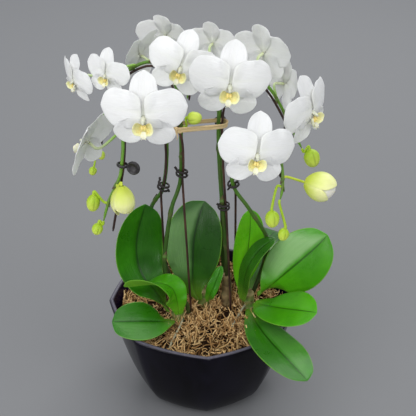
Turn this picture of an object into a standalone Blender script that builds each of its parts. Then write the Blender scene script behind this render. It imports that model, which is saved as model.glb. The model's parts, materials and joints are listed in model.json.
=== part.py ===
"""Potted moth orchid: three plants in a soft eight-sided bowl, with five flower spikes bent over stiff wires.

Metres, +Z up. The origin is the middle of the bowl's underside, and the plants are seen from -Y.
"""

import math

import bmesh
import bpy
from mathutils import Matrix, Vector

# ---- Driving sizes ------------------------------------------------------------------------------

GAP = 0.0003  # left between pieces that touch

# Bowl: glazed, eight soft corners, wider at the rim than at the foot
RIM_RADIUS = 0.100
FOOT_RADIUS = 0.052
BOWL_HEIGHT = 0.108
BOWL_WALL = 0.005
BOWL_FLOOR = 0.008
BOWL_CORNERS = 8
BOWL_FACETING = 0.55  # 0 is round, 1 has flat sides
BOWL_FLARE = 0.42  # under 1, the wall bulges outwards
FIRST_CORNER = math.radians(-87)
BOWL_POINTS = 32  # round each ring

# Planting medium
MEDIUM_BELOW_RIM = 0.0165
MEDIUM_MOUND = 0.009  # how far the middle stands above the edge

# Plants
CROWN_RADIUS = 0.0075
CROWN_RISE = 0.019  # above the medium
SHEATH_RADIUS = 0.0062
SHEATH_RISE = 0.040
STEM_IN_MEDIUM = 0.035
LEAF_THICKNESS = 0.0022
LEAF_BASE_WIDTH = 0.008
LEAF_NECK = 0.25  # the share of a leaf that turns away from clasping its stem
LEAF_STATIONS = 8

# Flower spikes
SPIKE_RADIUS = 0.0024
SPIKE_TIP_RADIUS = 0.0012
SPIKE_STEPS = 34
PEDICEL_RADIUS = 0.0011

# Flowers and buds: the shares are of a flower's span, petal tip to petal tip
DORSAL_SEPAL = (90, 0.56, 0.16)  # direction in degrees, length, half width
PETALS = ((9, 0.50, 0.27), (171, 0.50, 0.27))
LATERAL_SEPALS = ((-53, 0.47, 0.16), (-127, 0.47, 0.16))
FLOWER_REFLEX = 0.10  # how far the rim of the flower falls back
TEPAL_THICKNESS = 0.016
FLOWER_POINTS = 30
LIP_SIZE = (0.20, 0.22, 0.20)
LIP_CENTRE = (0.0, -0.05, 0.05)

# Wires and what ties the spikes to them
WIRE_RADIUS = 0.0011
WIRE_IN_MEDIUM = 0.060
TIE_RADIUS = 0.0006
TIE_TURNS = 1.6
TIE_TAIL = 0.005
RAFFIA_HEIGHT = 0.230  # above the medium's edge
RAFFIA_BAND = 0.0055
RAFFIA_THICKNESS = 0.0011
BUTTON_RADIUS = 0.0060
BUTTON_THICKNESS = 0.0030

INNER_RISES = (0.0, 0.22, 0.55)  # of the height between the floor and the medium's edge

# ---- Materials ----------------------------------------------------------------------------------


def material(name, colour, roughness, metallic=0.0):
    made = bpy.data.materials.new(name)
    made.use_nodes = True
    shader = made.node_tree.nodes["Principled BSDF"]
    shader.inputs["Base Color"].default_value = (*colour, 1.0)
    shader.inputs["Roughness"].default_value = roughness
    shader.inputs["Metallic"].default_value = metallic
    return made


# ---- Shape helpers ------------------------------------------------------------------------------


def add_object(name, bm, finish):
    """Closes up a bmesh as a named object with its faces pointing out."""
    bmesh.ops.recalc_face_normals(bm, faces=bm.faces)
    mesh = bpy.data.meshes.new(name)
    bm.to_mesh(mesh)
    bm.free()
    mesh.shade_smooth()
    mesh.set_sharp_from_angle(angle=math.radians(40))
    mesh.materials.append(finish)
    made = bpy.data.objects.new(name, mesh)
    bpy.context.scene.collection.objects.link(made)
    return made


def loft(rings, joined=False):
    """A bmesh through rings of points, with flat ends, or joined from its last ring back to its first."""
    bm = bmesh.new()
    rows = [[bm.verts.new(point) for point in ring] for ring in rings]
    pairs = list(zip(rows, rows[1:]))
    if joined:
        pairs.append((rows[-1], rows[0]))
    for low, high in pairs:
        for i in range(len(low)):
            after = (i + 1) % len(low)
            bm.faces.new((low[i], low[after], high[after], high[i]))
    if not joined:
        bm.faces.new(rows[0])
        bm.faces.new(rows[-1])
    return bm


def smooth_route(points, steps):
    """A Catmull-Rom curve through the points, as steps + 1 points evenly spaced along it."""
    points = [Vector(p) for p in points]
    points = [2 * points[0] - points[1], *points, 2 * points[-1] - points[-2]]
    fine = []
    for a, b, c, d in zip(points, points[1:], points[2:], points[3:]):
        for k in range(12):
            t = k / 12
            fine.append(
                0.5
                * (
                    2 * b
                    + (c - a) * t
                    + (2 * a - 5 * b + 4 * c - d) * t**2
                    + (3 * b - a - 3 * c + d) * t**3
                )
            )
    fine.append(points[-2])
    return [point_along(fine, k / steps) for k in range(steps + 1)]


def point_along(route, share):
    """The point at this share of a route's length."""
    lengths = [(b - a).length for a, b in zip(route, route[1:])]
    left = share * sum(lengths)
    for a, b, length in zip(route, route[1:], lengths):
        if left <= length:
            return a.lerp(b, left / length)
        left -= length
    return route[-1].copy()


def direction_along(route, share):
    ahead = point_along(route, min(1.0, share + 0.01))
    return (ahead - point_along(route, max(0.0, share - 0.01))).normalized()


def point_at_height(route, height):
    """Where a route first rises past this height."""
    for a, b in zip(route, route[1:]):
        if a.z <= height < b.z:
            return a.lerp(b, (height - a.z) / (b.z - a.z))
    return route[-1].copy()


def square_to(vector, axis):
    """The part of a vector at right angles to an axis, one long."""
    vector = Vector(vector)
    return (vector - vector.dot(axis) * axis).normalized()


def tube_rings(route, radii, sides, start_side=(0.31, 0.95, 0.12)):
    """Rings of points round a route, carried along it without twisting."""
    rings = []
    side = Vector(start_side)
    for i, point in enumerate(route):
        before, after = route[max(0, i - 1)], route[min(len(route) - 1, i + 1)]
        along = (after - before).normalized()
        side = square_to(side, along)
        up = along.cross(side)
        turn = 2 * math.pi / sides
        rings.append(
            [point + radii[i] * (math.cos(k * turn) * side + math.sin(k * turn) * up) for k in range(sides)]
        )
    return rings


def tube(name, route, start_radius, end_radius, sides, finish):
    last = len(route) - 1
    radii = [start_radius + (end_radius - start_radius) * i / last for i in range(last + 1)]
    return add_object(name, loft(tube_rings(route, radii, sides)), finish)


def join_to(target, helper, operation="UNION"):
    """Joins a hidden helper to an object, or cuts it out."""
    helper.hide_render = True
    helper.display_type = "WIRE"
    modifier = target.modifiers.new(helper.name, "BOOLEAN")
    modifier.operation = operation
    modifier.object = helper


# ---- Bowl and medium ----------------------------------------------------------------------------


def bowl_ring(radius, height):
    """A ring of the bowl's soft eight-sided outline. The radius is to a corner."""
    half_side = math.pi / BOWL_CORNERS
    ring = []
    for k in range(BOWL_POINTS):
        angle = FIRST_CORNER + 2 * math.pi * k / BOWL_POINTS
        from_middle = (angle - FIRST_CORNER) % (2 * half_side) - half_side
        flat_side = math.cos(half_side) / math.cos(from_middle)
        reach = radius * (1 + BOWL_FACETING * (flat_side - 1))
        ring.append(Vector((reach * math.cos(angle), reach * math.sin(angle), height)))
    return ring


def bowl_radius(height):
    """Outside radius of the bowl at a height."""
    return FOOT_RADIUS + (RIM_RADIUS - FOOT_RADIUS) * (height / BOWL_HEIGHT) ** BOWL_FLARE


def medium_edge_height():
    return BOWL_HEIGHT - MEDIUM_BELOW_RIM


def inner_heights():
    """Heights that the bowl's inside and the medium's side share, so that they stay parallel."""
    rise = medium_edge_height() - BOWL_FLOOR
    return [BOWL_FLOOR + share * rise for share in INNER_RISES] + [medium_edge_height()]


def make_bowl(finish):
    outside = [bowl_ring(FOOT_RADIUS - 0.003, 0.0)]
    for share in (0.03, 0.30, 0.62, 0.88, 1.0):
        height = share * BOWL_HEIGHT
        outside.append(bowl_ring(bowl_radius(height), height))
    inside = [bowl_ring(bowl_radius(BOWL_HEIGHT) - BOWL_WALL, BOWL_HEIGHT)]
    for height in reversed(inner_heights()):
        inside.append(bowl_ring(bowl_radius(height) - BOWL_WALL, height))
    add_object("bowl", loft(outside + inside), finish)


def medium_height(x, y):
    """Top of the medium: a low mound."""
    share = min(1.0, math.hypot(x, y) / (bowl_radius(medium_edge_height()) - BOWL_WALL))
    return medium_edge_height() + MEDIUM_MOUND * (1 - share**2)


def make_medium(finish):
    side_gap = 2 * GAP
    rings = []
    for height in inner_heights():
        lift = GAP if height == BOWL_FLOOR else 0.0
        rings.append(bowl_ring(bowl_radius(height) - BOWL_WALL - side_gap, height + lift))
    edge = bowl_radius(medium_edge_height()) - BOWL_WALL - side_gap
    for share in (0.75, 0.45, 0.15):
        rings.append(bowl_ring(edge * share, medium_height(edge * share, 0.0)))
    return add_object("planting_medium", loft(rings), finish)


def above_medium(point):
    """A point whose height is given above the medium's edge."""
    return Vector(point) + Vector((0, 0, medium_edge_height()))


# ---- Plants: stems and leaves -------------------------------------------------------------------

# The short stem of each plant. The sheathed one has lost its leaves and stands wrapped in their dry bases.
PLANTS = {
    "left": dict(stem="crown_left", place=(-0.0260, -0.0300), radius=CROWN_RADIUS, rise=CROWN_RISE),
    "centre": dict(stem="crown_centre", place=(0.0005, -0.0040), radius=CROWN_RADIUS, rise=CROWN_RISE),
    "right": dict(stem="crown_right", place=(0.0473, -0.0061), radius=CROWN_RADIUS, rise=CROWN_RISE),
    "sheathed": dict(stem="sheathed_stem", place=(0.0245, -0.0060), radius=SHEATH_RADIUS, rise=SHEATH_RISE),
}

# Each leaf: the plant and the side of its stem that it grows from, as an angle from +X, and how far above the
# medium. Then its width, how far its edges rise as a share of half of that, which way its upper side faces at
# the base and at the tip, and its middle line. From here on a point's height is above the medium's edge.
LEAVES = {
    "leaf_left_upright": dict(
        plant="left", side=-163, rise=0.0145, width=0.054, fold=0.28,
        faces=[(0.7, -0.6, 0.4), (0.40, -0.90, 0.1)],
        route=[
            (-0.0480, -0.0290, 0.0440), (-0.0600, -0.0230, 0.0570), (-0.0668, -0.0170, 0.0770),
            (-0.0655, -0.0120, 0.1030), (-0.0562, -0.0100, 0.1370),
        ],
    ),
    "leaf_left_bent": dict(
        plant="left", side=-82, rise=0.0164, width=0.036, fold=0.10,
        faces=[(0.25, -0.9, 0.1), (0.0, 0.9, 0.7)],
        route=[
            (-0.0262, -0.0430, 0.0430), (-0.0310, -0.0460, 0.0610), (-0.0444, -0.0470, 0.0682),
            (-0.0622, -0.0480, 0.0680), (-0.0780, -0.0480, 0.0650),
        ],
    ),
    "leaf_left_low": dict(
        plant="left", side=-123, rise=0.0077, width=0.042, fold=0.05,
        faces=[(0.0, -0.4, 1.0), (-0.10, -0.50, 0.85)],
        route=[
            (-0.0380, -0.0450, 0.0180), (-0.0560, -0.0530, 0.0250), (-0.0760, -0.0560, 0.0275),
            (-0.0910, -0.0560, 0.0270),
        ],
    ),
    "leaf_centre_tall": dict(
        plant="centre", side=-114, rise=0.0112, width=0.058, fold=0.13,
        faces=[(0.0, -1.0, 0.2), (-0.1, -0.95, 0.3)],
        route=[
            (-0.0101, -0.0105, 0.0361), (-0.0104, -0.0070, 0.0654), (-0.0092, -0.0040, 0.0905),
            (-0.0040, 0.0000, 0.1155), (0.0020, 0.0040, 0.1318),
        ],
    ),
    "leaf_centre_narrow": dict(
        plant="centre", side=-54, rise=0.0113, width=0.013, fold=0.30,
        faces=[(-0.6, -0.8, 0.3), (-0.5, -0.8, 0.2)],
        route=[
            (0.0081, -0.0172, 0.0334), (0.0142, -0.0168, 0.0510), (0.0192, -0.0145, 0.0657),
        ],
    ),
    "leaf_centre_back": dict(
        plant="centre", side=82, rise=0.0030, width=0.046, fold=0.15,
        faces=[(0.0, -0.6, 1.0), (0.0, 0.25, 1.0)],
        route=[
            (-0.0030, 0.0280, 0.0300), (-0.0080, 0.0580, 0.0440), (-0.0120, 0.0920, 0.0400),
            (-0.0130, 0.1120, 0.0300),
        ],
    ),
    "leaf_right_bright": dict(
        plant="right", side=175, rise=0.0143, width=0.031, fold=0.20,
        faces=[(0.1, -1.0, 0.1), (0.15, -1.0, 0.1)],
        route=[
            (0.0413, -0.0060, 0.0482), (0.0451, -0.0080, 0.0785), (0.0468, -0.0100, 0.1077),
            (0.0462, -0.0100, 0.1311),
        ],
    ),
    "leaf_right_edge_on": dict(
        plant="right", side=-133, rise=0.0139, width=0.026, fold=0.15,
        faces=[(-0.9, -0.6, 0.3), (-0.8, -0.25, 0.6)],
        route=[
            (0.0423, -0.0200, 0.0483), (0.0460, -0.0270, 0.0746), (0.0563, -0.0280, 0.0947),
            (0.0718, -0.0240, 0.1062),
        ],
    ),
    "leaf_right_broad": dict(
        plant="right", side=-11, rise=0.0205, width=0.058, fold=0.10,
        faces=[(0.0, -1.0, 0.2), (-0.40, -0.75, 0.55)],
        route=[
            (0.0662, -0.0120, 0.0359), (0.0865, -0.0240, 0.0675), (0.1078, -0.0330, 0.0981),
            (0.1206, -0.0360, 0.1177),
        ],
    ),
    "leaf_right_forward": dict(
        plant="right", side=-43, rise=0.0118, width=0.044, fold=0.10,
        faces=[(0.0, -0.3, 1.0), (0.1, -0.6, 0.8)],
        route=[
            (0.0650, -0.0360, 0.0312), (0.0812, -0.0560, 0.0432), (0.0969, -0.0720, 0.0534),
            (0.1090, -0.0820, 0.0589),
        ],
    ),
    "leaf_right_hanging": dict(
        plant="right", side=-86, rise=0.0047, width=0.044, fold=0.12,
        faces=[(0.0, -0.3, 1.0), (0.2, -0.5, 0.9)],
        route=[
            (0.0540, -0.0450, 0.0160), (0.0670, -0.0800, 0.0200), (0.0815, -0.1120, 0.0250),
            (0.0960, -0.1400, 0.0260),
        ],
    ),
    "leaf_right_back": dict(
        plant="right", side=107, rise=0.0051, width=0.044, fold=0.15,
        faces=[(0.0, -0.4, 1.0), (0.1, 0.2, 1.0)],
        route=[
            (0.0510, 0.0260, 0.0280), (0.0640, 0.0540, 0.0410), (0.0780, 0.0830, 0.0400),
            (0.0860, 0.1000, 0.0320),
        ],
    ),
}


def beside_stem(plant, side, rise, half_thickness):
    """Where something this thick starts, against the side of a plant's stem."""
    x, y = PLANTS[plant]["place"]
    reach = PLANTS[plant]["radius"] + half_thickness + 3 * GAP
    x += reach * math.cos(math.radians(side))
    y += reach * math.sin(math.radians(side))
    return Vector((x, y, medium_height(x, y) + rise))


def leaf_outline(share):
    """Width of a leaf at a share of its length: 0 at the base, 1 at its widest, falling to a round tip."""
    widest = 0.58
    if share < widest:
        return math.sin(0.5 * math.pi * share / widest) ** 1.3
    return math.sqrt(max(0.0, 1 - ((share - widest) / (1 - widest)) ** 2.3))


def make_leaf(name, plan, finish):
    """A fleshy strap of a leaf: thickest at the middle line, with its edges raised."""
    base = beside_stem(plan["plant"], plan["side"], plan["rise"], LEAF_THICKNESS / 2)
    route = smooth_route([base, *map(above_medium, plan["route"])], LEAF_STATIONS)
    side = math.radians(plan["side"])
    inwards = Vector((-math.cos(side), -math.sin(side), 0.4))
    first_face, last_face = (Vector(face) for face in plan["faces"])
    if inwards.dot(first_face) < 0:
        inwards.negate()  # this one turns its back on its stem
    tip_width = 0.06 * plan["width"]
    rings = []
    for i, point in enumerate(route):
        share = i / LEAF_STATIONS
        along = direction_along(route, share)
        face = first_face.lerp(last_face, share)
        if share < LEAF_NECK:
            face = inwards.lerp(first_face, share / LEAF_NECK)
        normal = square_to(face, along)
        across = along.cross(normal)
        swell = leaf_outline(share)
        narrow = LEAF_BASE_WIDTH if share < 0.5 else tip_width
        half = 0.5 * (narrow + (plan["width"] - narrow) * swell)
        upper, lower = [], []
        for k in range(-2, 3):
            out = k / 2
            middle = point + across * (half * out) + normal * (plan["fold"] * half * out**2)
            thick = 0.5 * LEAF_THICKNESS * (1 - 0.45 * out**2)
            upper.append(middle + normal * thick)
            lower.append(middle - normal * thick)
        rings.append(upper + lower[::-1])
    return add_object(name, loft(rings), finish)


def stem_top(plant):
    x, y = PLANTS[plant]["place"]
    return Vector((x, y, medium_height(x, y) + PLANTS[plant]["rise"]))


def make_stem(plant, finish, medium):
    """A short stem that leaves or a spike grow from, and the hole that it stands in."""
    plan = PLANTS[plant]
    top = stem_top(plant)
    foot = top - Vector((0, 0, plan["rise"] + STEM_IN_MEDIUM))
    tube(plan["stem"], [foot, top], plan["radius"], 0.85 * plan["radius"], 10, finish)
    wider = plan["radius"] + 2 * GAP
    hole = tube(f"{plan['stem']}_hole", [foot - Vector((0, 0, GAP)), top], wider, wider, 10, finish)
    join_to(medium, hole, "DIFFERENCE")


# ---- Flower spikes and their wires --------------------------------------------------------------

# Each spike: where it leaves its plant's stem, its middle line, the point that it arches round, where its
# wire stands in the medium, the side of the spike that the wire comes up on, the shares of the spike's
# length that are tied to the wire, and the share at which the wire ends or leaves it for a free tip.
SPIKES = {
    "left_front": dict(
        plant="left", side=76, rise=0.0080,
        route=[
            (-0.0300, -0.0060, 0.0310), (-0.0395, 0.0070, 0.0510), (-0.0500, 0.0110, 0.0860),
            (-0.0520, 0.0020, 0.1210), (-0.0460, -0.0180, 0.1460), (-0.0385, -0.0300, 0.1633),
            (-0.0340, -0.0310, 0.1860), (-0.0325, -0.0340, 0.2210), (-0.0370, -0.0460, 0.2530),
            (-0.0510, -0.0650, 0.2700), (-0.0640, -0.0800, 0.2580), (-0.0665, -0.0890, 0.2360),
            (-0.0700, -0.0910, 0.2130), (-0.0800, -0.0910, 0.1910), (-0.0865, -0.0910, 0.1690),
        ],
        arch_centre=(-0.0520, -0.0640, 0.2010), wire_foot=(-0.0385, -0.0040), wire_side=(0.0, -1.0, 0.0),
        ties=(0.44, 0.86), wire_end=0.88, wire_tip=(-0.0796, -0.0860, 0.1549),
    ),
    "left_back": dict(
        plant="left", side=15, rise=0.0080,
        route=[
            (-0.0155, -0.0285, 0.0250), (-0.0230, -0.0300, 0.0380), (-0.0345, -0.0275, 0.0540),
            (-0.0385, -0.0265, 0.0760), (-0.0345, -0.0285, 0.1160), (-0.0285, -0.0300, 0.1490),
            (-0.0208, -0.0300, 0.1752), (-0.0195, -0.0300, 0.2270), (-0.0220, -0.0180, 0.2600),
            (-0.0400, -0.0020, 0.2800), (-0.0650, -0.0060, 0.2760), (-0.0820, -0.0140, 0.2580),
            (-0.0915, -0.0200, 0.2280), (-0.0985, -0.0210, 0.1990),
        ],
        arch_centre=(-0.0580, -0.0100, 0.2110), wire_foot=(-0.0125, -0.0210), wire_side=(0.6, -0.8, 0.0),
        ties=(0.44, 0.93), wire_end=1.0,
    ),
    "middle_right": dict(
        plant="sheathed",
        route=[
            (0.0240, -0.0090, 0.0760), (0.0215, -0.0150, 0.1110), (0.0185, -0.0200, 0.1450),
            (0.0150, -0.0200, 0.2010), (0.0155, -0.0200, 0.2410), (0.0250, -0.0180, 0.2690),
            (0.0440, -0.0180, 0.2750), (0.0600, -0.0195, 0.2630), (0.0730, -0.0220, 0.2420),
            (0.0835, -0.0270, 0.2220), (0.0905, -0.0300, 0.2090),
        ],
        arch_centre=(0.0480, -0.0220, 0.2110), wire_foot=(0.0290, -0.0150), wire_side=(0.9, -0.4, 0.0),
        ties=(0.285, 0.935), wire_end=0.98,
    ),
    "right_front": dict(
        plant="right", side=55, rise=0.0151,
        route=[
            (0.0620, 0.0080, 0.0480), (0.0665, 0.0030, 0.0730), (0.0650, -0.0085, 0.0940),
            (0.0580, -0.0235, 0.1170), (0.0430, -0.0300, 0.1456), (0.0289, -0.0310, 0.1693),
            (0.0265, -0.0370, 0.2010), (0.0340, -0.0500, 0.2310), (0.0500, -0.0680, 0.2440),
            (0.0650, -0.0820, 0.2310), (0.0690, -0.0890, 0.2070), (0.0675, -0.0910, 0.1910),
        ],
        arch_centre=(0.0500, -0.0680, 0.1910), wire_foot=(0.0350, 0.0300), wire_side=(0.0, 1.0, 0.0),
        ties=(0.515,), wire_end=0.94,
    ),
    "back": dict(
        plant="sheathed", side=95, rise=0.0076,
        route=[
            (0.0210, 0.0140, 0.0510), (0.0190, 0.0180, 0.1210), (0.0160, 0.0160, 0.1910),
            (0.0140, 0.0180, 0.2360), (0.0070, 0.0310, 0.2560), (-0.0050, 0.0500, 0.2540),
            (-0.0130, 0.0660, 0.2340), (-0.0160, 0.0740, 0.2110),
        ],
        arch_centre=(-0.0040, 0.0600, 0.2060), wire_foot=(0.0280, 0.0270), wire_side=(0.6, 0.6, 0.0),
        ties=(0.62,), wire_end=1.0,
    ),
}


def spike_route(spike):
    """A spike's middle line, from beside its plant's stem, or from the top of a stem that it ends."""
    plan = SPIKES[spike]
    if "side" in plan:
        start = beside_stem(plan["plant"], plan["side"], plan["rise"], SPIKE_RADIUS)
    else:
        start = stem_top(plan["plant"]) + Vector((0, 0, 2 * GAP))
    return smooth_route([start, *map(above_medium, plan["route"])], SPIKE_STEPS)


def spike_radius(share):
    return SPIKE_RADIUS + (SPIKE_TIP_RADIUS - SPIKE_RADIUS) * share


def wire_side_at(spike, route, share):
    """Which side of the spike its wire lies on: the side it comes up on, then the inside of the arch."""
    plan = SPIKES[spike]
    along = direction_along(route, share)
    first_tie = plan["ties"][0]
    turn = min(1.0, max(0.0, (share - first_tie) / 0.22))
    turn = turn * turn * (3 - 2 * turn)
    coming_up = square_to(plan["wire_side"], along)
    inside = square_to(above_medium(plan["arch_centre"]) - point_along(route, share), along)
    return square_to(coming_up.lerp(inside, turn), along)


def wire_route(spike):
    """A wire stands straight up to the first tie, follows its spike at a gap, and may end free."""
    plan = SPIKES[spike]
    route = spike_route(spike)
    x, y = plan["wire_foot"]
    first_tie = plan["ties"][0]
    points = []
    steps = 26
    for k in range(steps + 1):
        share = first_tie - 0.02 + (plan["wire_end"] - first_tie + 0.02) * k / steps
        reach = spike_radius(share) + WIRE_RADIUS + 2 * GAP
        points.append(point_along(route, share) + reach * wire_side_at(spike, route, share))
    surface = Vector((x, y, medium_height(x, y)))
    foot = surface - (points[0] - surface).normalized() * WIRE_IN_MEDIUM
    free_end = [above_medium(plan["wire_tip"])] if "wire_tip" in plan else []
    return [foot, foot.lerp(points[0], 0.5), *points, *free_end]


def make_tie(name, spike, share, finish):
    """A soft wire twisted round a spike and its wire, with both tails standing out."""
    route = spike_route(spike)
    radius = spike_radius(share)
    along = direction_along(route, share)
    side = wire_side_at(spike, route, share)
    centre = point_along(route, share) + side * (WIRE_RADIUS + GAP)
    reach = radius + WIRE_RADIUS + TIE_RADIUS + 3 * GAP
    across = along.cross(side)
    steps = int(TIE_TURNS * 8)
    points = []
    for k in range(steps + 1):
        turn = 2 * math.pi * TIE_TURNS * k / steps
        rise = (k / steps - 0.5) * TIE_TURNS * 3.6 * TIE_RADIUS
        points.append(centre + reach * (math.cos(turn) * across + math.sin(turn) * side) + rise * along)
    first_tail = points[0] + TIE_TAIL * (points[0] - centre).normalized() - 0.3 * TIE_TAIL * along
    last_tail = points[-1] + TIE_TAIL * (points[-1] - centre).normalized() + 0.3 * TIE_TAIL * along
    return tube(name, [first_tail, *points, last_tail], TIE_RADIUS, TIE_RADIUS, 4, finish)


def make_button_clip(spike, share, finish):
    """A moulded clip: a collar round a spike and its wire, with a round button to press it by."""
    route = spike_route(spike)
    along = direction_along(route, share)
    side = wire_side_at(spike, route, share)
    collar_radius = 0.0012
    centre = point_along(route, share) + side * (WIRE_RADIUS + GAP)
    reach = spike_radius(share) + WIRE_RADIUS + collar_radius + 3 * GAP
    across = along.cross(side)
    points = []
    for k in range(12):
        turn = 2 * math.pi * k / 12
        points.append(centre + reach * (math.cos(turn) * across + math.sin(turn) * side))
    rings = []
    for point in points:
        out = (point - centre).normalized()
        turns = [2 * math.pi * j / 5 for j in range(5)]
        rings.append([point + collar_radius * (math.cos(t) * out + 1.5 * math.sin(t) * along) for t in turns])
    clip = add_object("button_clip", loft(rings, joined=True), finish)
    towards = square_to((1.0, -0.35, 0.0), along)
    middle = centre + towards * (reach + BUTTON_RADIUS * 0.95)
    facing = square_to((0.25, -1.0, 0.0), towards)
    half = 0.5 * BUTTON_THICKNESS * facing
    button = tube("button_helper", [middle - half, middle + half], BUTTON_RADIUS, BUTTON_RADIUS, 14, finish)
    join_to(clip, button)


def make_raffia(finish):
    """A flat band tied round the two front spikes that stand upright, and round their wires."""
    height = medium_edge_height() + RAFFIA_HEIGHT
    held = []
    for spike in ("left_back", "middle_right"):
        held.append(point_at_height(spike_route(spike), height))
        held.append(point_at_height(wire_route(spike), height))
    left = 0.5 * (held[0] + held[1])
    right = 0.5 * (held[2] + held[3])
    clear = SPIKE_RADIUS + 2 * WIRE_RADIUS + 4 * GAP
    along = (right - left).normalized()
    across = Vector((-along.y, along.x, 0.0)).normalized()
    along = Vector((across.y, -across.x, 0.0))
    rings = []
    half_turn = 8
    for end, sign in ((right, 1), (left, -1)):
        for k in range(half_turn + 1):
            turn = math.pi * (k / half_turn - 0.5)
            out = sign * (math.cos(turn) * along + math.sin(turn) * across)
            ring = []
            for far, high in ((0, -1), (1, -1), (1, 1), (0, 1)):
                point = Vector((end.x, end.y, height)) + out * (clear + far * RAFFIA_THICKNESS)
                ring.append(point + Vector((0, 0, high * RAFFIA_BAND / 2)))
            rings.append(ring)
    return add_object("raffia_tie", loft(rings, joined=True), finish)


# ---- Flowers and buds ---------------------------------------------------------------------------

# Each flower: the spike it grows on and where, its centre, which way it faces (turned from -Y towards +X,
# then raised), how far it is rolled, and its span from petal tip to petal tip.
FLOWERS = {
    "flower_01": dict(
        spike="left_front", at=0.69, centre=(-0.0466, -0.1020, 0.2745),
        turn=-3, raised=-2, roll=0, span=0.0710,
    ),
    "flower_02": dict(
        spike="left_front", at=0.79, centre=(-0.0990, -0.0600, 0.2300),
        turn=-112, raised=20, roll=0, span=0.0680,
    ),
    "flower_03": dict(
        spike="left_back", at=0.82, centre=(-0.1140, -0.0120, 0.2680),
        turn=-50, raised=-8, roll=-10, span=0.0480,
    ),
    "flower_04": dict(
        spike="left_back", at=0.77, centre=(-0.0831, -0.0320, 0.2815),
        turn=-26, raised=0, roll=-6, span=0.0440,
    ),
    "flower_05": dict(
        spike="left_back", at=0.72, centre=(-0.0570, 0.0240, 0.2770),
        turn=-128, raised=15, roll=10, span=0.0560,
    ),
    "flower_06": dict(
        spike="left_back", at=0.68, centre=(-0.0355, 0.0420, 0.2890),
        turn=160, raised=20, roll=0, span=0.0540,
    ),
    "flower_07": dict(
        spike="left_back", at=0.62, centre=(-0.0184, -0.0360, 0.2900),
        turn=-4, raised=0, roll=-18, span=0.0620,
    ),
    "flower_08": dict(
        spike="middle_right", at=0.66, centre=(0.0232, -0.0620, 0.2845),
        turn=2, raised=-2, roll=-6, span=0.0710,
    ),
    "flower_09": dict(
        spike="back", at=0.78, centre=(0.0092, 0.0560, 0.2765),
        turn=165, raised=10, roll=0, span=0.0500,
    ),
    "flower_10": dict(
        spike="middle_right", at=0.76, centre=(0.0557, 0.0200, 0.2810),
        turn=150, raised=10, roll=0, span=0.0600,
    ),
    "flower_11": dict(
        spike="middle_right", at=0.89, centre=(0.0945, -0.0420, 0.2510),
        turn=50, raised=2, roll=12, span=0.0660,
    ),
    "flower_12": dict(
        spike="right_front", at=0.80, centre=(0.0450, -0.1030, 0.2413),
        turn=8, raised=5, roll=-8, span=0.0660,
    ),
    "flower_13": dict(
        spike="middle_right", at=0.84, centre=(0.0764, 0.0220, 0.2500),
        turn=120, raised=-8, roll=0, span=0.0540,
    ),
}

# Each bud: its spike and place, its middle, the way its tip points, its length and its width.
BUDS = {
    "bud_01": dict(
        spike="left_front", at=0.955, centre=(-0.0945, -0.0905, 0.1870),
        points=(-0.15, -0.1, -1.0), length=0.0170, width=0.0125,
    ),
    "bud_02": dict(
        spike="left_front", at=1.0, centre=(-0.0925, -0.0920, 0.1610),
        points=(-0.3, -0.1, -1.0), length=0.0120, width=0.0110,
    ),
    "bud_03": dict(
        spike="left_back", at=0.955, centre=(-0.0935, -0.0270, 0.2000),
        points=(0.3, -0.3, -1.0), length=0.0090, width=0.0075,
    ),
    "bud_04": dict(
        spike="left_back", at=1.0, centre=(-0.1030, -0.0230, 0.1810),
        points=(-0.3, -0.1, -1.0), length=0.0090, width=0.0075,
    ),
    "bud_05": dict(
        spike="left_back", at=0.555, centre=(-0.0070, -0.0340, 0.2410),
        points=(0.5, -0.4, 0.2), length=0.0150, width=0.0120,
    ),
    "bud_06": dict(
        spike="middle_right", at=1.0, centre=(0.1000, -0.0330, 0.2000),
        points=(0.3, -0.2, -1.0), length=0.0180, width=0.0150,
    ),
    "bud_07": dict(
        spike="right_front", at=0.965, centre=(0.0610, -0.0930, 0.1720),
        points=(0.05, -0.1, -1.0), length=0.0165, width=0.0130,
    ),
    "bud_08": dict(
        spike="right_front", at=1.0, centre=(0.0715, -0.0930, 0.1560),
        points=(-0.15, -0.1, -1.0), length=0.0125, width=0.0100,
    ),
}

# Buds that have begun to open are blunt, with a shallow mouth where the tips of the sepals part.
OPENING_BUDS = {
    "opening_bud_left": dict(
        spike="left_front", at=0.905, centre=(-0.0675, -0.1020, 0.1960),
        points=(0.05, -0.25, -1.0), length=0.0265, width=0.0210,
    ),
    "opening_bud_right": dict(
        spike="right_front", at=0.94, centre=(0.1020, -0.0830, 0.1990),
        points=(0.95, -0.3, -0.15), length=0.0280, width=0.0270,
    ),
}


def lobe_reach(lobe, angle):
    """How far a lobe reaches at an angle: it is an ellipse that starts at the flower's centre."""
    direction, length, half_width = lobe
    off = angle - math.radians(direction)
    if math.cos(off) <= 0:
        return 0.0
    half = length / 2
    across = (half_width * math.cos(off)) ** 2 + (half * math.sin(off)) ** 2
    return 2 * half * half_width**2 * math.cos(off) / across


def flower_outline(angle):
    lobes = (DORSAL_SEPAL, *PETALS, *LATERAL_SEPALS)
    return max(0.14, *(lobe_reach(lobe, angle) for lobe in lobes))


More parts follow.
